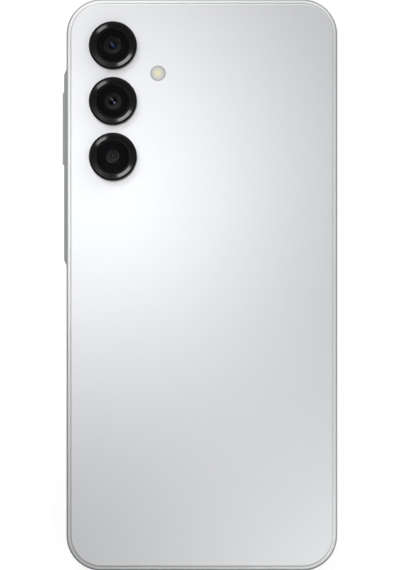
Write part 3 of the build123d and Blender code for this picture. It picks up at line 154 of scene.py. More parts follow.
def pick_edges(piece: Piece, test: Callable[[bmesh.types.BMEdge], bool]) -> None:
    """Selects, in edit mode, only the edges that pass a test.

    Args:
        piece: The mesh object, open in edit mode.
        test: Returns True for an edge to select.
    """
    mesh = bmesh.from_edit_mesh(piece.data)
    bpy.ops.mesh.select_mode(type="EDGE")
    bpy.ops.mesh.select_all(action="DESELECT")
    for edge in mesh.edges:
        if test(edge):
            edge.select_set(True)
    bmesh.update_edit_mesh(piece.data)


def settle(piece: Piece, name: str) -> Piece:
    """Cleans a piece, turns its faces outwards, puts its place in its mesh and smooths it.

    Args:
        piece: The object as modelled.
        name: The name it gets.

    Returns:
        The same object.
    """
    with edit_mode(piece):
        bpy.ops.mesh.select_all(action="SELECT")
        bpy.ops.mesh.remove_doubles(threshold=MERGE_DISTANCE)
        bpy.ops.mesh.normals_make_consistent(inside=False)
    activate(piece)
    bpy.ops.object.transform_apply(location=True, rotation=True, scale=True)
    bpy.ops.object.shade_smooth_by_angle(angle=math.radians(SMOOTH_ANGLE))
    piece.name = piece.data.name = name
    return piece


def apply_modifier(piece: Piece, modifier: bpy.types.Modifier) -> None:
    """Applies one modifier of a piece."""
    activate(piece)
    bpy.ops.object.modifier_apply(modifier=modifier.name)


def firm_normals(piece: Piece) -> Piece:
    """Lets the large faces of a piece set the shading normals, and returns the piece.

    The modifier passes over faces as small as these in metres, so it works in millimetres.
    """
    piece.data.transform(Matrix.Scale(1 / MM, 4))
    weighted = piece.modifiers.new("weighted", "WEIGHTED_NORMAL")
    weighted.keep_sharp = True
    apply_modifier(piece, weighted)
    piece.data.transform(Matrix.Scale(MM, 4))
    return piece


def cut_away(piece: Piece, cutter: Piece) -> None:
    """Cuts one solid out of another and removes the cutter."""
    cut = piece.modifiers.new("cut", "BOOLEAN")
    cut.operation = "DIFFERENCE"
    cut.solver = "EXACT"
    cut.object = cutter
    apply_modifier(piece, cut)
    bpy.data.objects.remove(cutter)


def arc(centre: Pair, radius: float, start: float, end: float) -> list[Pair]:
    """Returns the points of an arc in a profile plane, from one angle to another in degrees."""
    angles = [math.radians(start + (end - start) * n / ARC_STEPS) for n in range(ARC_STEPS + 1)]
    return [(centre[0] + radius * math.cos(a), centre[1] + radius * math.sin(a)) for a in angles]


def turn(name: str, centre: Pair, profile: Sequence[Pair], segments: int = 96,
         hollow: bool = False) -> Piece:
    """Raises a round piece loop by loop about an upright axis.

    Args:
        name: The piece's name.
        centre: The axis in plan, in millimetres.
        profile: Radius and height of each loop, in millimetres. A radius of 0 closes the piece.
        segments: The number of sides.
        hollow: True where the last loop joins the first one.

    Returns:
        The finished piece.
    """
    x, y = mm(*centre)
    start = 0 if profile[0][0] else 1
    radius, height = profile[start]
    bpy.ops.mesh.primitive_circle_add(
        vertices=segments, radius=radius * MM, location=(x, y, height * MM),
        fill_type="NGON" if start == 1 else "NOTHING")
    piece = bpy.context.object
    bpy.ops.object.transform_apply(location=True, rotation=False, scale=False)
    with edit_mode(piece):
        bpy.ops.mesh.select_mode(type="EDGE")
        bpy.ops.mesh.select_all(action="SELECT")
        for next_radius, next_height in profile[start + 1:]:
            bpy.ops.mesh.extrude_edges_move(
                TRANSFORM_OT_translate={"value": (0, 0, (next_height - height) * MM)})
            if next_radius == 0:
                bpy.ops.mesh.merge(type="CENTER")
                break
            scale = next_radius / radius
            bpy.ops.transform.resize(
                value=(scale, scale, 1), center_override=(x, y, next_height * MM))
            radius, height = next_radius, next_height
        if hollow:
            pick_edges(piece, lambda edge: edge.is_boundary)
            bpy.ops.mesh.bridge_edge_loops()
    return firm_normals(settle(piece, name))


def slab(name: str, low: Sequence[float], high: Sequence[float], corner: float, axis: int = 2,
         corner_steps: int = 10, near_round: float = 0.0, far_round: float = 0.0,
         round_steps: int = 4) -> Piece:
    """Makes a slab with rounded corners from a cube, by bevels in edit mode.

    Args:
        name: The piece's name.
        low: Its lowest corner, in millimetres.
        high: Its highest corner, in millimetres.
        corner: The radius of the four corners seen along the axis.
        axis: The axis that the corners run along: 0, 1 or 2.
        corner_steps: The runs in each corner.
        near_round: The rounding of the rim at the axis's low end, or 0.
        far_round: The rounding of the rim at its high end, or 0.
        round_steps: The runs in each rounding.

    Returns:
        The finished piece.
    """
    middle = [(a + b) / 2 * MM for a, b in zip(low, high)]
    size = [(b - a) * MM for a, b in zip(low, high)]
    bpy.ops.mesh.primitive_cube_add(size=1, location=middle, scale=size)
    piece = bpy.context.object
    bpy.ops.object.transform_apply(location=True, rotation=False, scale=True)
    with edit_mode(piece):
        pick_edges(piece, lambda edge: abs(
            (edge.verts[0].co - edge.verts[1].co).normalized()[axis]) > ALONG_AXIS)
        bpy.ops.mesh.bevel(offset=corner * MM, segments=corner_steps, affect="EDGES")
        for level, rounding in ((low[axis], near_round), (high[axis], far_round)):
            if rounding:
                pick_edges(piece, lambda edge: all(
                    abs(vert.co[axis] - level * MM) < LEVEL_TOLERANCE for vert in edge.verts))
                bpy.ops.mesh.bevel(
                    offset=rounding * MM, segments=round_steps, affect="EDGES")
    return firm_normals(settle(piece, name))


def rod(centre: Sequence[float], radius: float) -> Piece:
    """Returns an upright cylinder to cut with, centred on a point, in millimetres."""
    bpy.ops.mesh.primitive_cylinder_add(
        vertices=ROD_SIDES, radius=radius * MM, depth=ROD_LENGTH * MM, location=mm(*centre))
    bpy.ops.object.transform_apply(location=True, rotation=True, scale=True)
    return bpy.context.object


def smooth_copy(node: str, name: str, smooth_angle: float = 30.0) -> Piece:
    """Returns a merged, smoothly shaded copy of a CAD node's mesh, with a mesh of its own.

    Args:
        node: The CAD node.
        name: The copy's name.
        smooth_angle: Edges sharper than this many degrees stay sharp.
    """
    source = frame["nodes"][node]
    twin = source.copy()
    twin.data = source.data.copy()
    twin.name = twin.data.name = name
    twin.parent = None
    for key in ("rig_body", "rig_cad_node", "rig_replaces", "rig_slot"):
        if key in twin:
            del twin[key]
    bpy.context.scene.collection.objects.link(twin)
    twin.data.materials.clear()
    with edit_mode(twin):
        bpy.ops.mesh.select_all(action="SELECT")
        bpy.ops.mesh.remove_doubles(threshold=MERGE_DISTANCE)
    activate(twin)
    bpy.ops.object.shade_smooth_by_angle(angle=math.radians(smooth_angle))
    return firm_normals(twin)


# ---------------------------------------------------------------- finishes


def opaque(colour: Colour) -> tuple[float, float, float, float]:
    """Adds a full alpha to a colour."""
    return (*colour, 1.0)


def tone(level: float) -> tuple[float, float, float, float]:
    """Returns an opaque grey."""
    return (level, level, level, 1.0)


class Effect(Enum):
    """The node groups that several finishes share."""

    GRAIN = "fine_grain"
    BRUSHED = "brushed_lines"
    RADIAL = "radial_zones"


class Bench:
    """Lays out and links the nodes of one node tree."""

    def __init__(self, tree: bpy.types.NodeTree) -> None:
        """Starts on a tree, with its Principled BSDF at hand if it has one."""
        self.tree = tree
        self.shader = tree.nodes.get("Principled BSDF")

    def feed(self, node: Node, inputs: Inputs) -> None:
        """Fills a node's inputs.

        Args:
            node: The node.
            inputs: What each input takes: a plain value, or another node's output.
        """
        for key, value in inputs.items():
            if isinstance(value, Socket):
                self.tree.links.new(value, node.inputs[key])
            else:
                node.inputs[key].default_value = value

    def add(self, kind: str, inputs: Inputs | None = None, **settings: object) -> Node:
        """Adds a node.

        Args:
            kind: The node's type, such as "ShaderNodeTexNoise".
            inputs: What its inputs take, as in feed.
            settings: The node's own settings.

        Returns:
            The node.
        """
        node = self.tree.nodes.new(kind)
        for key, value in settings.items():
            setattr(node, key, value)
        self.feed(node, inputs or {})
        return node

    def math(self, operation: str, *values: object) -> Socket:
        """Adds a Math node and returns its output."""
        node = self.add("ShaderNodeMath", dict(enumerate(values)), operation=operation)
        return node.outputs[0]

    def vector(self, operation: str, *values: object, output: str = "Vector") -> Socket:
        """Adds a Vector Math node and returns one of its outputs."""
        node = self.add("ShaderNodeVectorMath", dict(enumerate(values)), operation=operation)
        return node.outputs[output]

    def place(self) -> Socket:
        """Returns the Object coordinates."""
        return self.add("ShaderNodeTexCoord").outputs["Object"]

    def noise(self, place: Socket, scale: object, detail: float,
              roughness: float = 0.5) -> Socket:
        """Adds a noise and returns its value."""
        node = self.add("ShaderNodeTexNoise", {
            "Vector": place, "Scale": scale, "Detail": detail, "Roughness": roughness})
        return node.outputs["Fac"]

    def fade(self, value: Socket, start: object, end: object, top: float = 1.0) -> Socket:
        """Returns 0 up to a start and a top value past an end, with a smooth step between."""
        node = self.add("ShaderNodeMapRange", {
            "Value": value, "From Min": start, "From Max": end, "To Max": top},
            interpolation_type="SMOOTHSTEP")
        return node.outputs["Result"]

    def blend(self, factor: object, first: object, second: object,
              mode: str = "MIX") -> Socket:
        """Mixes two colours and returns the result."""
        node = self.add("ShaderNodeMix", {0: factor, 6: first, 7: second}, data_type="RGBA",
                        blend_type=mode)
        return node.outputs[2]

    def grey(self, level: Socket) -> Socket:
        """Turns a value into a grey."""
        return self.add("ShaderNodeCombineColor", dict.fromkeys(range(3), level)).outputs[0]

    def speckle(self, colour: Socket, pattern: Socket, amount: Socket) -> tuple[Socket, Socket]:
        """Lightens and darkens a colour by a pattern.

        Args:
            colour: The colour.
            pattern: A value that varies about a half.
            amount: How strongly it shows.

        Returns:
            The colour, and the shift that was made in it.
        """
        shift = self.math("MULTIPLY", self.math("SUBTRACT", pattern, 0.5), amount)
        level = self.grey(self.math("ADD", 1.0, shift))
        return self.blend(1.0, colour, level, "MULTIPLY"), shift

    def use(self, effect: Effect, inputs: Inputs) -> bpy.types.NodeOutputs:
        """Places a shared node group and returns its outputs."""
        if effect.value not in bpy.data.node_groups:
            BUILDERS[effect]()
        group = bpy.data.node_groups[effect.value]
        return self.add("ShaderNodeGroup", inputs, node_tree=group).outputs

    def shade(self, inputs: Inputs) -> None:
        """Fills the inputs of the material's shader."""
        self.feed(self.shader, inputs)

    def emboss(self, height: Socket, depth: float) -> None:
        """Feeds a height into the shader's normal, with its depth in metres."""
        bump = self.add("ShaderNodeBump", {
            "Height": height, "Distance": depth, "Strength": 1.0})
        self.shade({"Normal": bump.outputs["Normal"]})

    def show(self, shader: Socket) -> None:
        """Makes a shader the material's surface."""
        self.feed(self.tree.nodes["Material Output"], {"Surface": shader})


def new_group(effect: Effect, inputs: dict[str, object],
              outputs: Sequence[str]) -> tuple[Bench, bpy.types.NodeOutputs, Node]:
    """Starts a node group with named sockets.

    Args:
        effect: Which group it is.
        inputs: Each input's default: a number, three numbers or a colour with its alpha.
        outputs: Each output's name. "Colour" is a colour and the others are numbers.

    Returns:
        A bench on the group, what its input node gives, and its output node.
    """
    group = bpy.data.node_groups.new(effect.value, "ShaderNodeTree")
    for name, default in inputs.items():
        size = 1 if isinstance(default, float) else len(default)
        kind = {1: "NodeSocketFloat", 3: "NodeSocketVector", 4: "NodeSocketColor"}[size]
        socket = group.interface.new_socket(name, in_out="INPUT", socket_type=kind)
        socket.default_value = default
    for name in outputs:
        kind = "NodeSocketColor" if name == "Colour" else "NodeSocketFloat"
        group.interface.new_socket(name, in_out="OUTPUT", socket_type=kind)
    bench = Bench(group)
    return bench, bench.add("NodeGroupInput").outputs, bench.add("NodeGroupOutput")


def build_grain() -> None:
    """Builds the fine grain of moulded and coated surfaces, with faint handling haze."""
    bench, given, result = new_group(
        Effect.GRAIN,
        {"Colour": tone(0.8), "Roughness": 0.4, "Scale": 9000.0, "Speckle": 0.02, "Haze": 0.04},
        ("Colour", "Roughness", "Height"))
    place = bench.place()
    fine = bench.noise(place, given["Scale"], 3.0, 0.6)
    broad = bench.noise(place, 55.0, 4.0)
    tinted, _ = bench.speckle(given["Colour"], fine, given["Speckle"])
    haze = bench.math("MULTIPLY", bench.math("SUBTRACT", broad, 0.5), given["Haze"])
    rough = bench.math("ADD", given["Roughness"], haze)
    bench.feed(result, {"Colour": tinted, "Roughness": rough, "Height": fine})


def build_brushed() -> None:
    """Builds the fine parallel lines of rolled and brushed metal."""
    bench, given, result = new_group(
        Effect.BRUSHED,
        {"Colour": tone(0.6), "Roughness": 0.35, "Across": (1.0, 1.0, 1.0), "Contrast": 0.12},
        ("Colour", "Roughness", "Height"))
    stretched = bench.vector("MULTIPLY", bench.place(), given["Across"])
    lines = bench.noise(stretched, 1.0, 4.0, 0.7)
    tinted, shift = bench.speckle(given["Colour"], lines, given["Contrast"])
    rough = bench.math("ADD", given["Roughness"], shift)
    bench.feed(result, {"Colour": tinted, "Roughness": rough, "Height": lines})


def build_radial() -> None:
    """Builds three colour zones about an upright axis: a middle, a band and a rim."""
    bench, given, result = new_group(
        Effect.RADIAL,
        {"Centre": (0.0, 0.0, 0.0), "Middle": tone(1.0), "Band": tone(1.0), "Rim": tone(1.0),
         "Middle End": 0.001, "Rim Start": 0.002, "Softness": 0.0003},
        ("Colour", "Radius"))
    offset = bench.vector("SUBTRACT", bench.place(), given["Centre"])
    flat = bench.vector("MULTIPLY", offset, (1, 1, 0))
    radius = bench.vector("LENGTH", flat, output="Value")

    def past(edge: Socket) -> Socket:
        """Returns 0 inside an edge and 1 outside it, with a soft step between."""
        start = bench.math("SUBTRACT", edge, given["Softness"])
        return bench.fade(radius, start, bench.math("ADD", edge, given["Softness"]))

    inner = bench.blend(past(given["Middle End"]), given["Middle"], given["Band"])
    whole = bench.blend(past(given["Rim Start"]), inner, given["Rim"])
    bench.feed(result, {"Colour": whole, "Radius": radius})


BUILDERS = {Effect.GRAIN: build_grain, Effect.BRUSHED: build_brushed,
            Effect.RADIAL: build_radial}


@dataclass(frozen=True)
class Finish:
    """A surface finish. Each kind of finish lays out its own nodes.

    Attributes:
        slot: The record's material slot that the finish stands for.
        colour: Its main colour.
        roughness: How blurred its reflections are.
        label: The piece it is made for, where it isn't shared.
    """

    slot: str
    colour: Colour
    roughness: float
    label: str = ""

    def material(self) -> bpy.types.Material:
        """Returns the finish's material, made on first use."""
        name = f"{self.label}_{self.slot}_finish".lstrip("_")
        found = bpy.data.materials.get(name)
        if found:
            return found
        made = bpy.data.materials.new(name)
        made.use_nodes = True
        made.diffuse_color = opaque(self.colour)
        bench = Bench(made.node_tree)
        bench.shade({"Base Color": opaque(self.colour), "Roughness": self.roughness})
        self.lay_out(bench)
        return made

    def lay_out(self, bench: Bench) -> None:
        """Adds the nodes of this kind of finish."""
        raise NotImplementedError

    def texture(self, bench: Bench, effect: Effect, inputs: Inputs) -> Socket:
        """Lets a shared group set the shader's colour and roughness.

        Args:
            bench: The material's bench.
            effect: The group.
            inputs: What the group takes besides the finish's own colour and roughness.

        Returns:
            The group's height.
        """
        made = bench.use(effect, {
            "Colour": opaque(self.colour), "Roughness": self.roughness, **inputs})
        bench.shade({"Base Color": made["Colour"], "Roughness": made["Roughness"]})
        return made["Height"]


@dataclass(frozen=True)
class MouldedPlastic(Finish):
    """Coloured plastic with a fine grain and, where it is lacquered, a clear coat."""

    coat: float = 0.0
    grain: float = 9000.0
    speckle: float = 0.02
    haze: float = 0.03
    depth: float = 2e-6
    gloss: float = 0.5

    def tint(self, bench: Bench) -> object:
        """Returns the colour that the grain works on."""
        return opaque(self.colour)

    def lay_out(self, bench: Bench) -> None:
        """Adds the grain, its bump and the coat."""
        height = self.texture(bench, Effect.GRAIN, {
            "Colour": self.tint(bench), "Scale": self.grain, "Speckle": self.speckle,
            "Haze": self.haze})
        bench.shade({"Coat Weight": self.coat, "Coat Roughness": 0.12,
                            "Specular IOR Level": self.gloss})
        bench.emboss(height, self.depth)


@dataclass(frozen=True)
class ShadePaintedFrame(MouldedPlastic):
    """Lacquered frame whose walls are painted a darker grey, as painted shade on the sides, below
    the light band that runs round the cover.
    """

    # painted shade: the walls' darker grey stands for the shade that falls on the phone's sides
    wall: Colour = (0.29, 0.295, 0.305)
    painted_shade_top: float = 7.42
    softness: float = 0.09

    def tint(self, bench: Bench) -> Socket:
        """Paints shade on the walls by fading their darker colour into the band's above a set
        height.
        """
        height = bench.add("ShaderNodeSeparateXYZ", {0: bench.place()}).outputs[2]
        band = bench.fade(height, (self.painted_shade_top - self.softness) * MM,
                          (self.painted_shade_top + self.softness) * MM)
        return bench.blend(band, opaque(self.wall), opaque(self.colour))


@dataclass(frozen=True)
class RingLacquer(Finish):
    """A camera ring: dull on its crest and lacquered on the cone down to the window."""

    centre: Pair = (0.0, 0.0)
    seat: float = 5.22
    crest: float = 6.26
    polish: float = 0.18

    def lay_out(self, bench: Bench) -> None:
        """Adds the coat's two zones and a fine grain."""
        zones = bench.use(Effect.RADIAL, {
            "Centre": mm(*self.centre, 0), "Middle": tone(0.0), "Band": tone(1.0),
            "Rim": tone(0.0), "Middle End": self.seat * MM, "Rim Start": self.crest * MM,
            "Softness": 0.04 * MM})
        bench.shade({"Coat Weight": zones["Colour"], "Coat Roughness": self.polish,
                            "Coat IOR": 1.45, "Specular IOR Level": 0.08})
        self.texture(bench, Effect.GRAIN, {"Scale": 12000.0, "Speckle": 0.3})


@dataclass(frozen=True)
class Metal(Finish):
    """Rolled or brushed metal."""

    across: Point = (300.0, 9000.0, 9000.0)
    contrast: float = 0.12

    def lay_out(self, bench: Bench) -> None:
        """Adds the lines and their bump."""
        height = self.texture(bench, Effect.BRUSHED, {
            "Across": self.across, "Contrast": self.contrast})
        bench.shade({"Metallic": 1.0})
        bench.emboss(height, 1e-6)


@dataclass(frozen=True)
class ClearGlass(Finish):
    """Clear glass that the lamps shine through, with the faintest unevenness in its polish."""

    ior: float = 1.5
    ripple: float = 120.0
    detail: float = 2.0
    depth: float = 2e-7

    def lay_out(self, bench: Bench) -> None:
        """Makes the shader transmissive and lets the lamps light what lies behind it."""
        bench.shade({"Transmission Weight": 1.0, "IOR": self.ior})
        bench.emboss(bench.noise(bench.place(), self.ripple, self.detail), self.depth)
        path = bench.add("ShaderNodeLightPath")
        clear = bench.add("ShaderNodeBsdfTransparent")
        both = bench.add("ShaderNodeMixShader", {
            0: path.outputs["Is Shadow Ray"], 1: bench.shader.outputs[0], 2: clear.outputs[0]})
        bench.show(both.outputs[0])


@dataclass(frozen=True)
class CoatedLens(Finish):
    """A lens front, with a reflection painted into its colour on one side and a glint painted on
    the other.

    Attributes:
        centre: The lens's axis in plan.
        painted_reflection_aside: How far the painted reflection lies off the axis, along X and
            back along Y.
        glow: Radius of the painted reflection.
        rim: The colour outside it.
        painted_glint: Place of the painted glint, off the axis.
        painted_glint_radius: Its radius.
        painted_glint_colour: Its colour.
    """

    centre: Pair = (0.0, 0.0)
    painted_reflection_aside: float = 0.0
    glow: float = 0.45
    rim: Colour = (0.0004, 0.0004, 0.0012)
    painted_glint: Pair = (-0.23, 0.40)
    painted_glint_radius: float = 0.2
    painted_glint_colour: Colour = (0.24, 0.24, 0.25)

    def lay_out(self, bench: Bench) -> None:
        """Adds the painted reflection, the painted glint and a hard gloss."""
        x, y = self.centre
        glow = self.spot(bench, (x + self.painted_reflection_aside, y - self.painted_reflection_aside), self.glow,
                         self.colour, self.rim)
        painted_glint = self.spot(bench, (x + self.painted_glint[0], y + self.painted_glint[1]), self.painted_glint_radius,
                          self.painted_glint_colour, (0.0, 0.0, 0.0))
        # painted light: a reflection and a glint are added into the lens's base colour
        bench.shade({
            "Base Color": bench.blend(1.0, glow, painted_glint, "ADD"), "IOR": 1.1, "Coat Weight": 1.0,
            "Coat Roughness": 0.05, "Coat IOR": 1.35})
        grain = bench.use(Effect.GRAIN, {"Scale": 3000.0})
        bench.emboss(grain["Height"], 1e-7)

    def spot(self, bench: Bench, place: Pair, radius: float, middle: Colour,
             rim: Colour) -> Socket:
        """Returns the colour of a soft round spot of painted light on the lens.

        Args:
            bench: The material's bench.
            place: The spot's middle in plan, in millimetres.
            radius: Its radius, in millimetres.
            middle: Its colour.
            rim: The colour around it.
        """
        band = tuple((a + b) / 2 for a, b in zip(middle, rim))
        core = radius * 0.4 * MM
        zones = bench.use(Effect.RADIAL, {
            "Centre": mm(*place, 0), "Middle": opaque(middle), "Band": opaque(band),
            "Rim": opaque(rim), "Middle End": core, "Rim Start": radius * MM,
            "Softness": core})
        return zones["Colour"]


@dataclass(frozen=True)
class FlashDiffuser(Finish):
    """The flash's lens: warm over the LED, milky around it and grey at the rim."""

    milk: Colour = (0.60, 0.59, 0.54)
    rim: Colour = (0.42, 0.42, 0.42)
    led_radius: float = 0.8
    rim_radius: float = 1.65
    ring_frequency: float = 22000.0

    def lay_out(self, bench: Bench) -> None:
        """Adds the zones and the lens's fine rings."""
        zones = bench.use(Effect.RADIAL, {
            "Centre": mm(*FLASH_PLACE, 0), "Middle": opaque(self.colour),
            "Band": opaque(self.milk), "Rim": opaque(self.rim),
            "Middle End": self.led_radius * MM, "Rim Start": self.rim_radius * MM,
            "Softness": 0.3 * MM})
        bench.shade({"Base Color": zones["Colour"], "Coat Weight": 0.6,
                            "Coat Roughness": 0.08})
        rings = bench.math("SINE", bench.math("MULTIPLY", zones["Radius"], self.ring_frequency))
        bench.emboss(rings, 8e-6)


@dataclass(frozen=True)
class PrintedBoard(Finish):
    """Solder mask over copper tracks, with fine pads."""

    copper: Colour = (0.10, 0.22, 0.12)
    pitch: float = 900.0

    def lay_out(self, bench: Bench) -> None:
        """Adds the tracks and pads as a pattern of fine cells."""
        cells = bench.add("ShaderNodeTexBrick", {
            "Vector": bench.place(), "Color1": opaque(self.colour), "Color2": opaque(self.copper),
            "Mortar": opaque(tuple(c * 0.6 for c in self.colour)), "Scale": self.pitch,
            "Mortar Size": 0.12, "Bias": -0.4}).outputs
        self.texture(bench, Effect.GRAIN, {"Colour": cells["Color"], "Speckle": 0.08})
        bench.emboss(cells["Fac"], 1.5e-5)


@dataclass(frozen=True)
class RibbonFoil(Finish):
    """Amber ribbon with its copper lines showing through."""

    line_scale: float = 2200.0

    def lay_out(self, bench: Bench) -> None:
        """Adds the lines along the ribbon."""
        lines = bench.add("ShaderNodeTexWave", {
            "Vector": bench.place(), "Scale": self.line_scale, "Distortion": 0.0},
            wave_type="BANDS", bands_direction="X", wave_profile="SAW")
        dark = tuple(c * 0.55 for c in self.colour)
        mixed = bench.blend(lines.outputs["Fac"], opaque(dark), opaque(self.colour))
        self.texture(bench, Effect.GRAIN, {"Colour": mixed, "Speckle": 0.05})
        bench.shade({"Coat Weight": 0.4})


@dataclass(frozen=True)
class WovenMesh(Finish):
    """Fine woven mesh: wires with dark holes between them."""

    wire: Colour = (0.22, 0.22, 0.23)
    frequency: float = 16800.0

    def lay_out(self, bench: Bench) -> None:
        """Adds the weave from sets of crossing waves along all three axes."""
        place = bench.add("ShaderNodeSeparateXYZ", {0: bench.place()}).outputs
        across, along, up = (
            bench.math("SINE", bench.math("MULTIPLY", place[n], self.frequency))
            for n in range(3))
        crossing = bench.math("MAXIMUM", across, bench.math("MAXIMUM", up, along))
        mask = bench.add("ShaderNodeMapRange", {
            "Value": crossing, "From Min": 0.3, "From Max": 0.9}).outputs["Result"]
        mixed = bench.blend(mask, opaque(self.colour), opaque(self.wire))
        bench.shade({"Base Color": mixed, "Metallic": 0.7})
        bench.emboss(mask, 3e-5)


@dataclass(frozen=True)
class PixelPanel(Finish):
    """The display panel, switched off: near black with a fine grid of cells."""

    cell: Colour = (0.010, 0.011, 0.014)

    def lay_out(self, bench: Bench) -> None:
        """Adds the grid of cells."""
        grid = bench.add("ShaderNodeTexBrick", {
            "Vector": bench.place(), "Color1": opaque(self.cell), "Color2": opaque(self.cell),
            "Mortar": opaque(self.colour), "Scale": 1500.0, "Mortar Size": 0.08},
            offset=0.0).outputs
        bench.shade({"Base Color": grid["Color"]})
        bench.emboss(grid["Fac"], 2e-6)


FINISHES: dict[str, Finish] = {finish.slot: finish for finish in (
    # housing: the light band's colour; the frame's walls below it are painted darker as shade
    ShadePaintedFrame("housing", (0.80, 0.81, 0.815), 0.40),
    MouldedPlastic("cover", (0.775, 0.783, 0.799), 0.42, speckle=0.035, grain=14000.0),
    # keys and sensor: close to the frame walls' darker grey, painted shade of the phone's sides
    # in place of the frame band's light grey
    MouldedPlastic("keys", (0.33, 0.335, 0.345), 0.36),
    MouldedPlastic("sensor", (0.29, 0.295, 0.305), 0.26, coat=0.6, haze=0.01),
    RingLacquer("rings", (0.003, 0.003, 0.0035), 0.45),
    ClearGlass("windows", (1.0, 1.0, 1.0), 0.0, ior=1.12),
    ClearGlass("lens_glass", (0.85, 0.88, 1.0), 0.0, ior=1.6),
    MouldedPlastic("barrels", (0.011, 0.011, 0.012), 0.5, haze=0.05, gloss=0.08),
    Metal("cans", (0.40, 0.40, 0.41), 0.35),
    FlashDiffuser("flash_lens", (0.75, 0.71, 0.44), 0.35),
    MouldedPlastic("led", (0.95, 0.78, 0.25), 0.45),
    ClearGlass("screen_glass", (0.9, 0.9, 0.9), 0.0, ripple=60.0, detail=1.0, depth=3e-7),
    PixelPanel("panel", (0.004, 0.004, 0.005), 0.25),
    MouldedPlastic("tape", (0.02, 0.02, 0.02), 0.75),
    Metal("cell", (0.10, 0.10, 0.11), 0.42, across=(700.0, 700.0, 700.0)),
    RibbonFoil("flex", (0.30, 0.16, 0.04), 0.35),
    PrintedBoard("boards", (0.015, 0.085, 0.06), 0.38),
    Metal("shields", (0.60, 0.60, 0.61), 0.32),
    MouldedPlastic("connectors", (0.05, 0.05, 0.05), 0.55),
    MouldedPlastic("cable", (0.03, 0.03, 0.03), 0.6),
    Metal("steel", (0.56, 0.56, 0.57), 0.28),
    MouldedPlastic("port_tongue", (0.02, 0.02, 0.02), 0.5),
    MouldedPlastic("sound", (0.04, 0.04, 0.045), 0.6),
    WovenMesh("mesh", (0.008, 0.008, 0.008), 0.5),
    Metal("rotor", (0.42, 0.41, 0.40), 0.5, contrast=0.2),
    # tray: the same darker grey as the keys, painted shade of the phone's sides
    MouldedPlastic("tray", (0.33, 0.335, 0.345), 0.36),
    MouldedPlastic("seal", (0.04, 0.04, 0.04), 0.7),
    MouldedPlastic("brackets", (0.07, 0.07, 0.075), 0.55),
    Metal("screws", (0.22, 0.22, 0.23), 0.35),
)}

GOLD = Metal("gold", (0.83, 0.60, 0.24), 0.25)
BLACK_PRINT = MouldedPlastic("print", (0.0025, 0.0025, 0.003), 0.06, speckle=0.3, haze=0.01,
                             depth=1e-7, gloss=0.2)


def dress(piece: Piece, finish: Finish, *stands_for: str, body: Body = Body.PHONE,
          slot: str | None = None) -> None:
    """Gives a piece its finish, its body and the CAD nodes that it stands for.

    Args:
        piece: The finished mesh.
        finish: What it is covered with.
        stands_for: The CAD nodes that it replaces.
        body: The CAD body it rides on.
        slot: The record's slot, where it isn't the finish's own.
    """
    piece.data.materials.clear()
    piece.data.materials.append(finish.material())
    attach(piece, body.value)
    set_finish(piece, slot or finish.slot)
    if stands_for:
        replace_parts(piece, *stands_for)
    log.info("%s rides on %s", piece.name, body.value)


# ---------------------------------------------------------------- body shell


@dataclass
class BackCover:
    """The back cover: a thin plate with a soft edge and holes for the cameras and flash.

    Attributes:
        corner: Radius of its corners in plan.
        edge_round: Rounding of its outer edge.
    """

    corner: float = 8.8
    edge_round: float = 0.35
    camera_hole: float = 6.06
    flash_hole: float = 2.19

    def build(self) -> None:
        """Models the plate, rounds its edge and cuts its holes."""
        low, high = node_box("back_cover")
        plate = slab("back_cover_shell", low, high, self.corner, corner_steps=24,
                     far_round=self.edge_round, round_steps=8)
        holes = [(place, self.camera_hole) for place in CAMERA_PLACES.values()]
        for place, radius in (*holes, (FLASH_PLACE, self.flash_hole)):
            cut_away(plate, rod((*place, (low.z + high.z) / 2), radius))
        firm_normals(settle(plate, "back_cover_shell"))
        dress(plate, FINISHES["cover"], "back_cover")


@dataclass
class Housing:
    """The frame with its key island, port, sound slots and screw bosses."""

    smooth_angle: float = 24.0

    def build(self) -> None:
        """Smooths the moulding's own surface."""
        shell = smooth_copy("front_housing", "frame_shell", self.smooth_angle)
        dress(shell, FINISHES["housing"], "front_housing")


@dataclass
class SideKeys:
    """The volume rocker and the power key with its fingerprint sensor.

    Attributes:
        pad_corner: Radius of the sensor's corners.
        pad_round: Rounding of its outer rim.
    """

    pad_corner: float = 0.9
    pad_round: float = 0.06

    def build(self) -> None:
        """Smooths both keys and lays the sensor into the power key."""
        for node, body, name in (("volume_key", Body.VOLUME_KEY, "volume_rocker"),
                                 ("power_key", Body.POWER_KEY, "power_button")):
            dress(smooth_copy(node, name), FINISHES["keys"], node, body=body)
        low, high = node_box("fingerprint_sensor")
        pad = slab("sensor_pad", low, high, self.pad_corner, axis=0, near_round=self.pad_round,
                   round_steps=2)
        dress(pad, FINISHES["sensor"], "fingerprint_sensor", body=Body.POWER_KEY)


@dataclass
class CardTray:
    """The card tray with its bezel and pockets."""

    def build(self) -> None:
        """Smooths the tray."""
        tray = smooth_copy("sim_tray", "card_tray")
        dress(tray, FINISHES["tray"], "sim_tray", body=Body.TRAY)


# ---------------------------------------------------------------- cameras


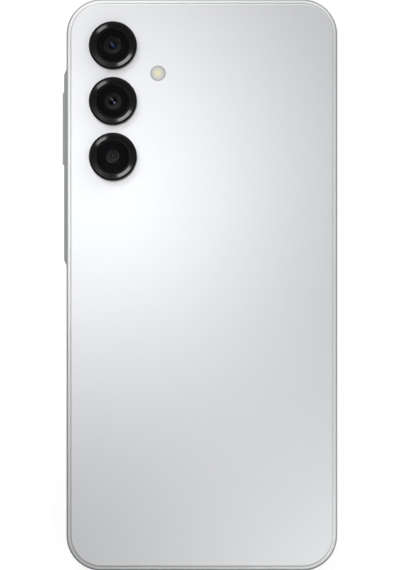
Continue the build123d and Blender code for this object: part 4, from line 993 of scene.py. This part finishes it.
@dataclass
class RearCamera:
    """One rear camera as seen from outside: ring, window, printed mask, barrel and lens.

    Attributes:
        label: The camera's name, as in its CAD nodes.
        opening: Radius of the hole in the printed mask.
        barrel_radius: Radius of the lens barrel's front.
        aperture: Radius of the lens's front element.
        coating: The finish of its front element, with a reflection and a glint painted into its
            colour.
        barrel_grey: How pale the barrel's front is.
        crest_radius: Radius at which its crest begins to round off.
        throat: Radius of its bore under the window.
        neck: Radius of its neck in the cover's hole.
        edge: Break of the edges of ring and barrel.
        window_gap: Gap between the window and the ring.
        window_floor: Height of the window's underside.
        window_top: Height of its outer face.
        wall: Width of the barrel's rim around the baffle.
        land: Width of the ledge between the baffle and the lens.
        well: Depth of the lens's well under the baffle.
    """

    label: str
    opening: float
    barrel_radius: float
    aperture: float
    body: Body = Body.PHONE
    # the coating paints a bluish reflection and a glint into the lens's colour
    coating: CoatedLens = CoatedLens(
        "lens_glass", (0.009, 0.014, 0.055), 0.04, painted_reflection_aside=0.25, glow=0.6,
        painted_glint=(-0.25, 0.28), painted_glint_radius=0.25, painted_glint_colour=(0.10, 0.115, 0.17))
    barrel_grey: float = 0.003
    ring_radius: float = 6.91
    crest_radius: float = 6.28
    ring_top: float = 9.6
    throat: float = 4.7
    neck: float = 6.0
    edge: float = 0.05
    window_gap: float = 0.05
    window_radius: float = 5.2
    window_floor: float = 8.5
    window_top: float = 9.1
    print_radius: float = 4.68
    wall: float = 0.25
    land: float = 0.2
    baffle_depth: float = 0.45
    baffle_steps: int = 4
    well: float = 0.6

    @property
    def centre(self) -> Pair:
        """The camera's axis in plan."""
        return CAMERA_PLACES[self.label]

    def build(self) -> None:
        """Models the camera from the outside in."""
        self.build_ring()
        self.build_window()
        self.build_mask()
        self.build_barrel()
        self.build_lens()

    def build_ring(self) -> None:
        """Turns the raised ring with its rounded outside and the cone down to the window."""
        rounding = self.ring_radius - self.crest_radius
        outside = arc((self.crest_radius, self.ring_top - rounding), rounding, 0, 90)
        seat = self.window_radius + self.window_gap
        profile = [
            (self.throat, COVER_INSIDE), (self.neck, COVER_INSIDE), (self.neck, COVER_OUTSIDE),
            (self.ring_radius - self.edge, COVER_OUTSIDE),
            (self.ring_radius, COVER_OUTSIDE + self.edge), *outside,
            (self.crest_radius - 0.05, self.ring_top - 0.01),
            (self.crest_radius - 0.09, self.ring_top - 0.05),
            (seat + 0.06, self.window_top + 0.04), (seat + 0.02, self.window_top + 0.01),
            (seat, self.window_top - 0.04), (seat, self.window_floor),
            (self.throat, self.window_floor),
        ]
        ring = turn(f"{self.label}_ring", self.centre, profile, segments=128, hollow=True)
        finish = replace(FINISHES["rings"], centre=self.centre, label=self.label)
        dress(ring, finish, f"camera_ring_{self.label}")

    def build_window(self) -> None:
        """Turns the glass window with its finely ground edge."""
        radius, ground = self.window_radius, 0.04
        profile = [(0, self.window_floor), (radius, self.window_floor),
                   (radius, self.window_top - ground), (radius - ground, self.window_top),
                   (0, self.window_top)]
        window = turn(f"{self.label}_window", self.centre, profile)
        dress(window, FINISHES["windows"], f"camera_window_{self.label}")

    def build_mask(self) -> None:
        """Turns the black printed ring on the window's inside."""
        low, high = self.window_floor - 0.06, self.window_floor - 0.01
        profile = [(self.opening, low), (self.print_radius, low), (self.print_radius, high),
                   (self.opening, high)]
        mask = turn(f"{self.label}_mask", self.centre, profile, hollow=True)
        dress(mask, BLACK_PRINT, slot="windows")

    def build_barrel(self) -> None:
        """Turns the lens barrel with the stepped baffle around its front element."""
        low, high = node_box(f"{self.label}_camera_barrel")
        outer, top = self.barrel_radius, high.z
        seat = top - self.baffle_depth
        mouth = outer - self.wall
        run = (mouth - self.aperture - self.land) / self.baffle_steps
        drop = self.baffle_depth / self.baffle_steps
        baffle = []
        for n in range(self.baffle_steps):
            radius, height = mouth - run * n, top - drop * n
            baffle += [(radius, height), (radius - run * 0.75, height - drop * 0.25),
                       (radius - run * 0.85, height - drop)]
        base, bore = seat - self.well, self.aperture + 0.01
        profile = [(0, low.z), (outer, low.z), (outer, top - self.edge),
                   (outer - self.edge, top), *baffle, (self.aperture + 0.12, seat),
                   (bore, seat - 0.03), (bore, base), (0, base)]
        barrel = turn(f"{self.label}_barrel", self.centre, profile, segments=80)
        grey = self.barrel_grey
        finish = replace(FINISHES["barrels"], colour=(grey, grey, grey * 1.06),
                         label=self.label)
        dress(barrel, finish, f"{self.label}_camera_barrel", body=self.body)

    def build_lens(self) -> None:
        """Turns the domed front element."""
        low, high = node_box(f"{self.label}_camera_glass")
        rise = 0.12 + 0.13 * self.aperture
        sphere = (self.aperture ** 2 + rise ** 2) / (2 * rise)
        half = math.degrees(math.asin(self.aperture / sphere))
        dome = arc((0, high.z - sphere), sphere, 90 - half, 90)[:-1]
        lens = turn(f"{self.label}_lens", self.centre,
                    [(0, low.z), (self.aperture, low.z), *dome, (0, high.z)], segments=64)
        finish = replace(self.coating, centre=self.centre, label=self.label)
        dress(lens, finish, f"{self.label}_camera_glass", body=self.body)


@dataclass
class Flash:
    """The flash's round diffuser, which covers the LED.

    Attributes:
        radius: Radius of its front.
        flange_radius: Radius of its flange under the cover.
        flange_depth: Thickness of the flange.
        dish_depth: How far its face lies below its rim.
    """

    radius: float = 2.13
    flange_radius: float = 2.73
    flange_depth: float = 0.25
    dish_depth: float = 0.04

    def build(self) -> None:
        """Turns the diffuser."""
        low, high = node_box("flash_lens")
        radius, top = self.radius, high.z
        underside = COVER_INSIDE - self.flange_depth
        profile = [
            (0, low.z), (radius, low.z), (radius, underside), (self.flange_radius, underside),
            (self.flange_radius, COVER_INSIDE), (radius, COVER_INSIDE), (radius, top - 0.08),
            (radius - 0.03, top - 0.02), (radius - 0.08, top), (radius - 0.4, top),
            (radius - 0.46, top - self.dish_depth), (0, top - self.dish_depth)]
        lens = turn("flash_diffuser", FLASH_PLACE, profile, segments=72)
        dress(lens, FINISHES["flash_lens"], "flash_lens")


# ---------------------------------------------------------------- front and port


@dataclass
class Screen:
    """The front glass with its slit, and the black border printed behind it.

    Attributes:
        corner: Radius of the glass's corners in plan.
        border: Width of the printed border along the sides and the top.
        bottom_border: Its width at the bottom.
        view_corner: Radius of the corners inside the border.
        print_inset: How far the print stays inside the glass's edge.
        print_low: Height of the print's lower face. Its upper one is print_high.
        slit_y: Inner edge of the earpiece's slit.
    """

    corner: float = 9.15
    edge_round: float = 0.35
    border: float = 3.4
    bottom_border: float = 6.2
    view_corner: float = 6.2
    print_inset: float = 0.1
    print_low: float = 0.702
    print_high: float = 0.715
    slit_length: float = 10.4
    slit_y: float = 80.8
    slit_corner: float = 0.2

    def build(self) -> None:
        """Models the glass and the printed border."""
        low, high = node_box("display_glass")
        glass = slab("front_glass", low, high, self.corner, corner_steps=20,
                     near_round=self.edge_round, round_steps=6)
        self.cut_slit(glass, high)
        firm_normals(settle(glass, "front_glass"))
        dress(glass, FINISHES["screen_glass"], "display_glass")
        inset = self.print_inset
        printed = slab("front_border", (low.x + inset, low.y + inset, self.print_low),
                       (high.x - inset, high.y - inset, self.print_high),
                       self.corner - inset, corner_steps=20)
        window = slab("view_area", (low.x + self.border, low.y + self.bottom_border, 0),
                      (high.x - self.border, high.y - self.border, 2), self.view_corner,
                      corner_steps=16)
        cut_away(printed, window)
        self.cut_slit(printed, high)
        settle(printed, "front_border")
        dress(printed, BLACK_PRINT, slot="screen_glass")

    def cut_slit(self, piece: Piece, high: Vector) -> None:
        """Cuts the earpiece's slit into a piece's top edge."""
        half = self.slit_length / 2
        cut_away(piece, slab("slit", (-half, self.slit_y, -1), (half, high.y + 1, 2),
                             self.slit_corner))


@dataclass
class ChargingPort:
    """The port's rolled shell and the contacts on its tongue.

    Attributes:
        contacts: How many contacts each face has.
        contact_height: How far they stand proud of the tongue.
        contact_front: Where they begin along the length.
        tongue_z: Height of the tongue's middle.
        tongue_half: Half its thickness.
    """

    contacts: int = 12
    pitch: float = 0.5
    contact_width: float = 0.25
    contact_length: float = 3.2
    contact_height: float = 0.03
    contact_front: float = -80.55
    contact_corner: float = 0.05
    tongue_z: float = 4.25
    tongue_half: float = 0.35

    def build(self) -> None:
        """Smooths the shell and lays the contacts on both faces of the tongue."""
        shell = smooth_copy("usb_port_shell", "port_shell")
        dress(shell, FINISHES["steel"], "usb_port_shell")
        front, back = self.contact_front, self.contact_front + self.contact_length
        strips = []
        for n in range(self.contacts):
            x = (n - (self.contacts - 1) / 2) * self.pitch
            left, right = x - self.contact_width / 2, x + self.contact_width / 2
            for side in (-1, 1):
                face = self.tongue_z + side * self.tongue_half
                low, high = sorted((face, face + side * self.contact_height))
                strips.append(slab("contact", (left, front, low), (right, back, high),
                                   self.contact_corner, corner_steps=2))
        activate(*strips)
        bpy.ops.object.join()
        strips[0].name = strips[0].data.name = "port_contacts"
        dress(strips[0], GOLD, slot="steel")


# ---------------------------------------------------------------- set

PHONE_TOP: Point = (0.0, 0.0, 0.008)
POOL_STAND: Point = (-0.10, 0.17, 0.50)


@dataclass
class Lamp:
    """A lamp on its stand.

    Attributes:
        name: Its name.
        place: Where it stands.
        aim: The point it faces.
        size: The width of its face.
        power: Its power in watts.
        pool: The radius that it lights at its aim, or 0 for an open softbox.
        height: The height of a softbox's face.
    """

    name: str
    place: Point
    aim: Point
    size: float
    power: float
    pool: float = 0.0
    height: float = 0.0

    def build(self) -> None:
        """Adds the lamp, as a softbox or as a spot whose pool fades to nothing at its rim."""
        lamp = bpy.data.lights.new(self.name, "SPOT" if self.pool else "AREA")
        lamp.energy = self.power
        beam = Vector(self.aim) - Vector(self.place)
        if self.pool:
            lamp.shadow_soft_size = self.size / 2
            lamp.spot_size = 2 * math.atan(self.pool / beam.length)
            lamp.spot_blend = 1.0
        else:
            lamp.shape = "RECTANGLE"
            lamp.size = self.size
            lamp.size_y = self.height
        stand = bpy.data.objects.new(self.name, lamp)
        bpy.context.scene.collection.objects.link(stand)
        stand.location = self.place
        stand.rotation_euler = beam.to_track_quat("-Z", "Y").to_euler()
        stand.visible_camera = False


@dataclass
class Studio:
    """The plain white floor, the pale surroundings, the lamps and the camera.

    Attributes:
        reach: Height of the camera above the phone's middle.
        view_length: Length along Y that the camera covers at that height.
        shift_x: How far the camera stands off the phone's middle.
        sensor: Width of the camera's sensor, in millimetres.
        window_side: The direction in which the surroundings are brightest.
        window_edge: How far off it, as a cosine, they are still brighter.
        window_light: How much brighter they are there.
        sky_greys: Grey of the surroundings at heights from 0, straight down, to 1, overhead.
            These two come first.
        floor_gap: How far the floor lies under the phone.
        contact: Rays shorter than this pass through the floor.
    """

    reach: float = 4.0
    middle_z: float = 0.0045
    view_length: float = 0.16404
    shift_x: float = -0.00053
    sensor: float = 36.0
    window_side: Point = (0.64, 0.77, 0.0)
    window_edge: float = 0.72
    window_light: float = 4.5
    sky_greys: tuple[Pair, ...] = (
        (0.0, 0.60), (1.0, 0.03), (0.5, 0.42), (0.62, 0.36), (0.80, 0.12))
    floor_size: float = 6.0
    floor_gap: float = 0.0003
    contact: float = 0.0009
    lamps: tuple[Lamp, ...] = (
        Lamp("upper_left_box", (-0.357, 0.492, 0.44), PHONE_TOP, 0.44, 2.2, height=0.18),
        Lamp("lower_right_box", (0.291, -0.399, 0.44), PHONE_TOP, 0.30, 0.8, height=0.12),
        Lamp("low_pool", POOL_STAND, (0.08, -0.14, 0.008), 0.10, 10.6, pool=0.11),
        Lamp("left_pool", POOL_STAND, (-0.05, 0.04, 0.008), 0.10, 3.4, pool=0.09),
        Lamp("tight_pool", POOL_STAND, (-0.02, 0.02, 0.008), 0.10, 5.4, pool=0.07),
    )

    def build(self) -> None:
        """Builds the set around the phone."""
        self.build_floor()
        self.build_surroundings()
        for lamp in self.lamps:
            lamp.build()
        self.build_camera()

    def build_floor(self) -> None:
        """Adds the floor, white to the camera and in reflections, with the phone's shadow."""
        bpy.ops.mesh.primitive_plane_add(size=self.floor_size, location=(0, 0, -self.floor_gap))
        floor = bpy.context.object
        bpy.ops.object.transform_apply(location=True, rotation=True, scale=True)
        floor.name = "floor"
        material = bpy.data.materials.new("floor_paper")
        material.use_nodes = True
        bench = Bench(material.node_tree)
        bench.tree.nodes.remove(bench.shader)
        paper = bench.add("ShaderNodeBsdfDiffuse", {"Color": tone(0.34)})
        glow = bench.add("ShaderNodeEmission", {"Color": tone(0.84), "Strength": 1.0})
        path = bench.add("ShaderNodeLightPath").outputs
        seen = bench.math("MAXIMUM", path["Is Camera Ray"], bench.math(
            "MAXIMUM", path["Is Glossy Ray"], path["Is Transmission Ray"]))
        dark = bench.add("ShaderNodeEmission", {"Color": tone(0.0), "Strength": 0.0})
        shown = bench.add("ShaderNodeMixShader", {
            0: seen, 1: dark.outputs[0], 2: glow.outputs[0]})
        front = bench.add("ShaderNodeAddShader", {0: paper.outputs[0], 1: shown.outputs[0]})
        clear = bench.add("ShaderNodeBsdfTransparent")
        back = bench.add("ShaderNodeNewGeometry").outputs["Backfacing"]
        close = bench.math("LESS_THAN", path["Ray Length"], self.contact)
        both = bench.add("ShaderNodeMixShader", {
            0: bench.math("MAXIMUM", back, close), 1: front.outputs[0], 2: clear.outputs[0]})
        bench.show(both.outputs[0])
        floor.data.materials.append(material)

    def build_surroundings(self) -> None:
        """Makes the world: white to the camera, dim overhead and brightest on one side."""
        world = bpy.data.worlds.new("studio")
        bpy.context.scene.world = world
        world.use_nodes = True
        bench = Bench(world.node_tree)
        direction = bench.add("ShaderNodeTexCoord").outputs["Generated"]
        up = bench.add("ShaderNodeSeparateXYZ", {0: direction}).outputs[2]
        ramp = bench.add("ShaderNodeValToRGB", {0: bench.math("MULTIPLY_ADD", up, 0.5, 0.5)})
        stops = ramp.color_ramp.elements
        (_, ground), (_, overhead), *between = self.sky_greys
        stops[0].color = tone(ground)
        stops[1].color = tone(overhead)
        for place, level in between:
            stops.new(place).color = tone(level)
        towards = bench.vector("DOT_PRODUCT", direction, self.window_side, output="Value")
        window = bench.grey(bench.fade(towards, self.window_edge, 1.0, self.window_light))
        light = bench.blend(1.0, ramp.outputs["Color"], window, "ADD")
        path = bench.add("ShaderNodeLightPath").outputs
        seen = bench.blend(path["Is Camera Ray"], light, tone(1.0))
        bench.feed(world.node_tree.nodes["Background"], {"Color": seen})

    def build_camera(self) -> None:
        """Adds the camera straight above, with the phone's length filling the picture."""
        data = bpy.data.cameras.new("camera")
        data.sensor_width = self.sensor
        data.lens = self.sensor * self.reach / self.view_length
        camera = bpy.data.objects.new("camera", data)
        bpy.context.scene.collection.objects.link(camera)
        camera.location = (self.shift_x, 0, self.middle_z + self.reach)
        bpy.context.scene.camera = camera
        bpy.context.scene.view_settings.view_transform = "Standard"


def dress_carried_over() -> None:
    """Gives every CAD node the finish of its slot."""
    subparts = frame["record"]["subparts"]
    for subpart in subparts:
        node = frame["nodes"][subpart["node"]]
        node.data.materials.clear()
        node.data.materials.append(FINISHES[subpart["material_slot"]].material())
    log.info("dressed %d CAD nodes", len(subparts))


def main() -> None:
    """Builds the set and the phone, in order from the outside in."""
    logging.basicConfig(level=logging.INFO, format="%(name)s: %(message)s")
    Studio().build()
    dress_carried_over()
    for piece in (
        Housing(),
        BackCover(),
        SideKeys(),
        CardTray(),
        # each lens's coating paints a reflection and a glint into its colour
        RearCamera("ultrawide", 2.5, 2.45, 1.2),
        RearCamera("main", 2.5, 3.0, 1.25, body=Body.MAIN_LENS,
                   coating=CoatedLens("lens_glass", (0.10, 0.11, 0.16), 0.04, painted_reflection_aside=0.5,
                                      glow=0.36), barrel_grey=0.0045),
        RearCamera("macro", 1.85, 1.76, 0.5,
                   coating=CoatedLens("lens_glass", (0.003, 0.003, 0.005), 0.04, glow=0.3,
                                      painted_glint=(-0.05, 0.2), painted_glint_radius=0.14,
                                      painted_glint_colour=(0.18, 0.18, 0.18)), barrel_grey=0.005),
        Flash(),
        Screen(),
        ChargingPort(),
    ):
        piece.build()


if __name__ == "__main__":
    main()
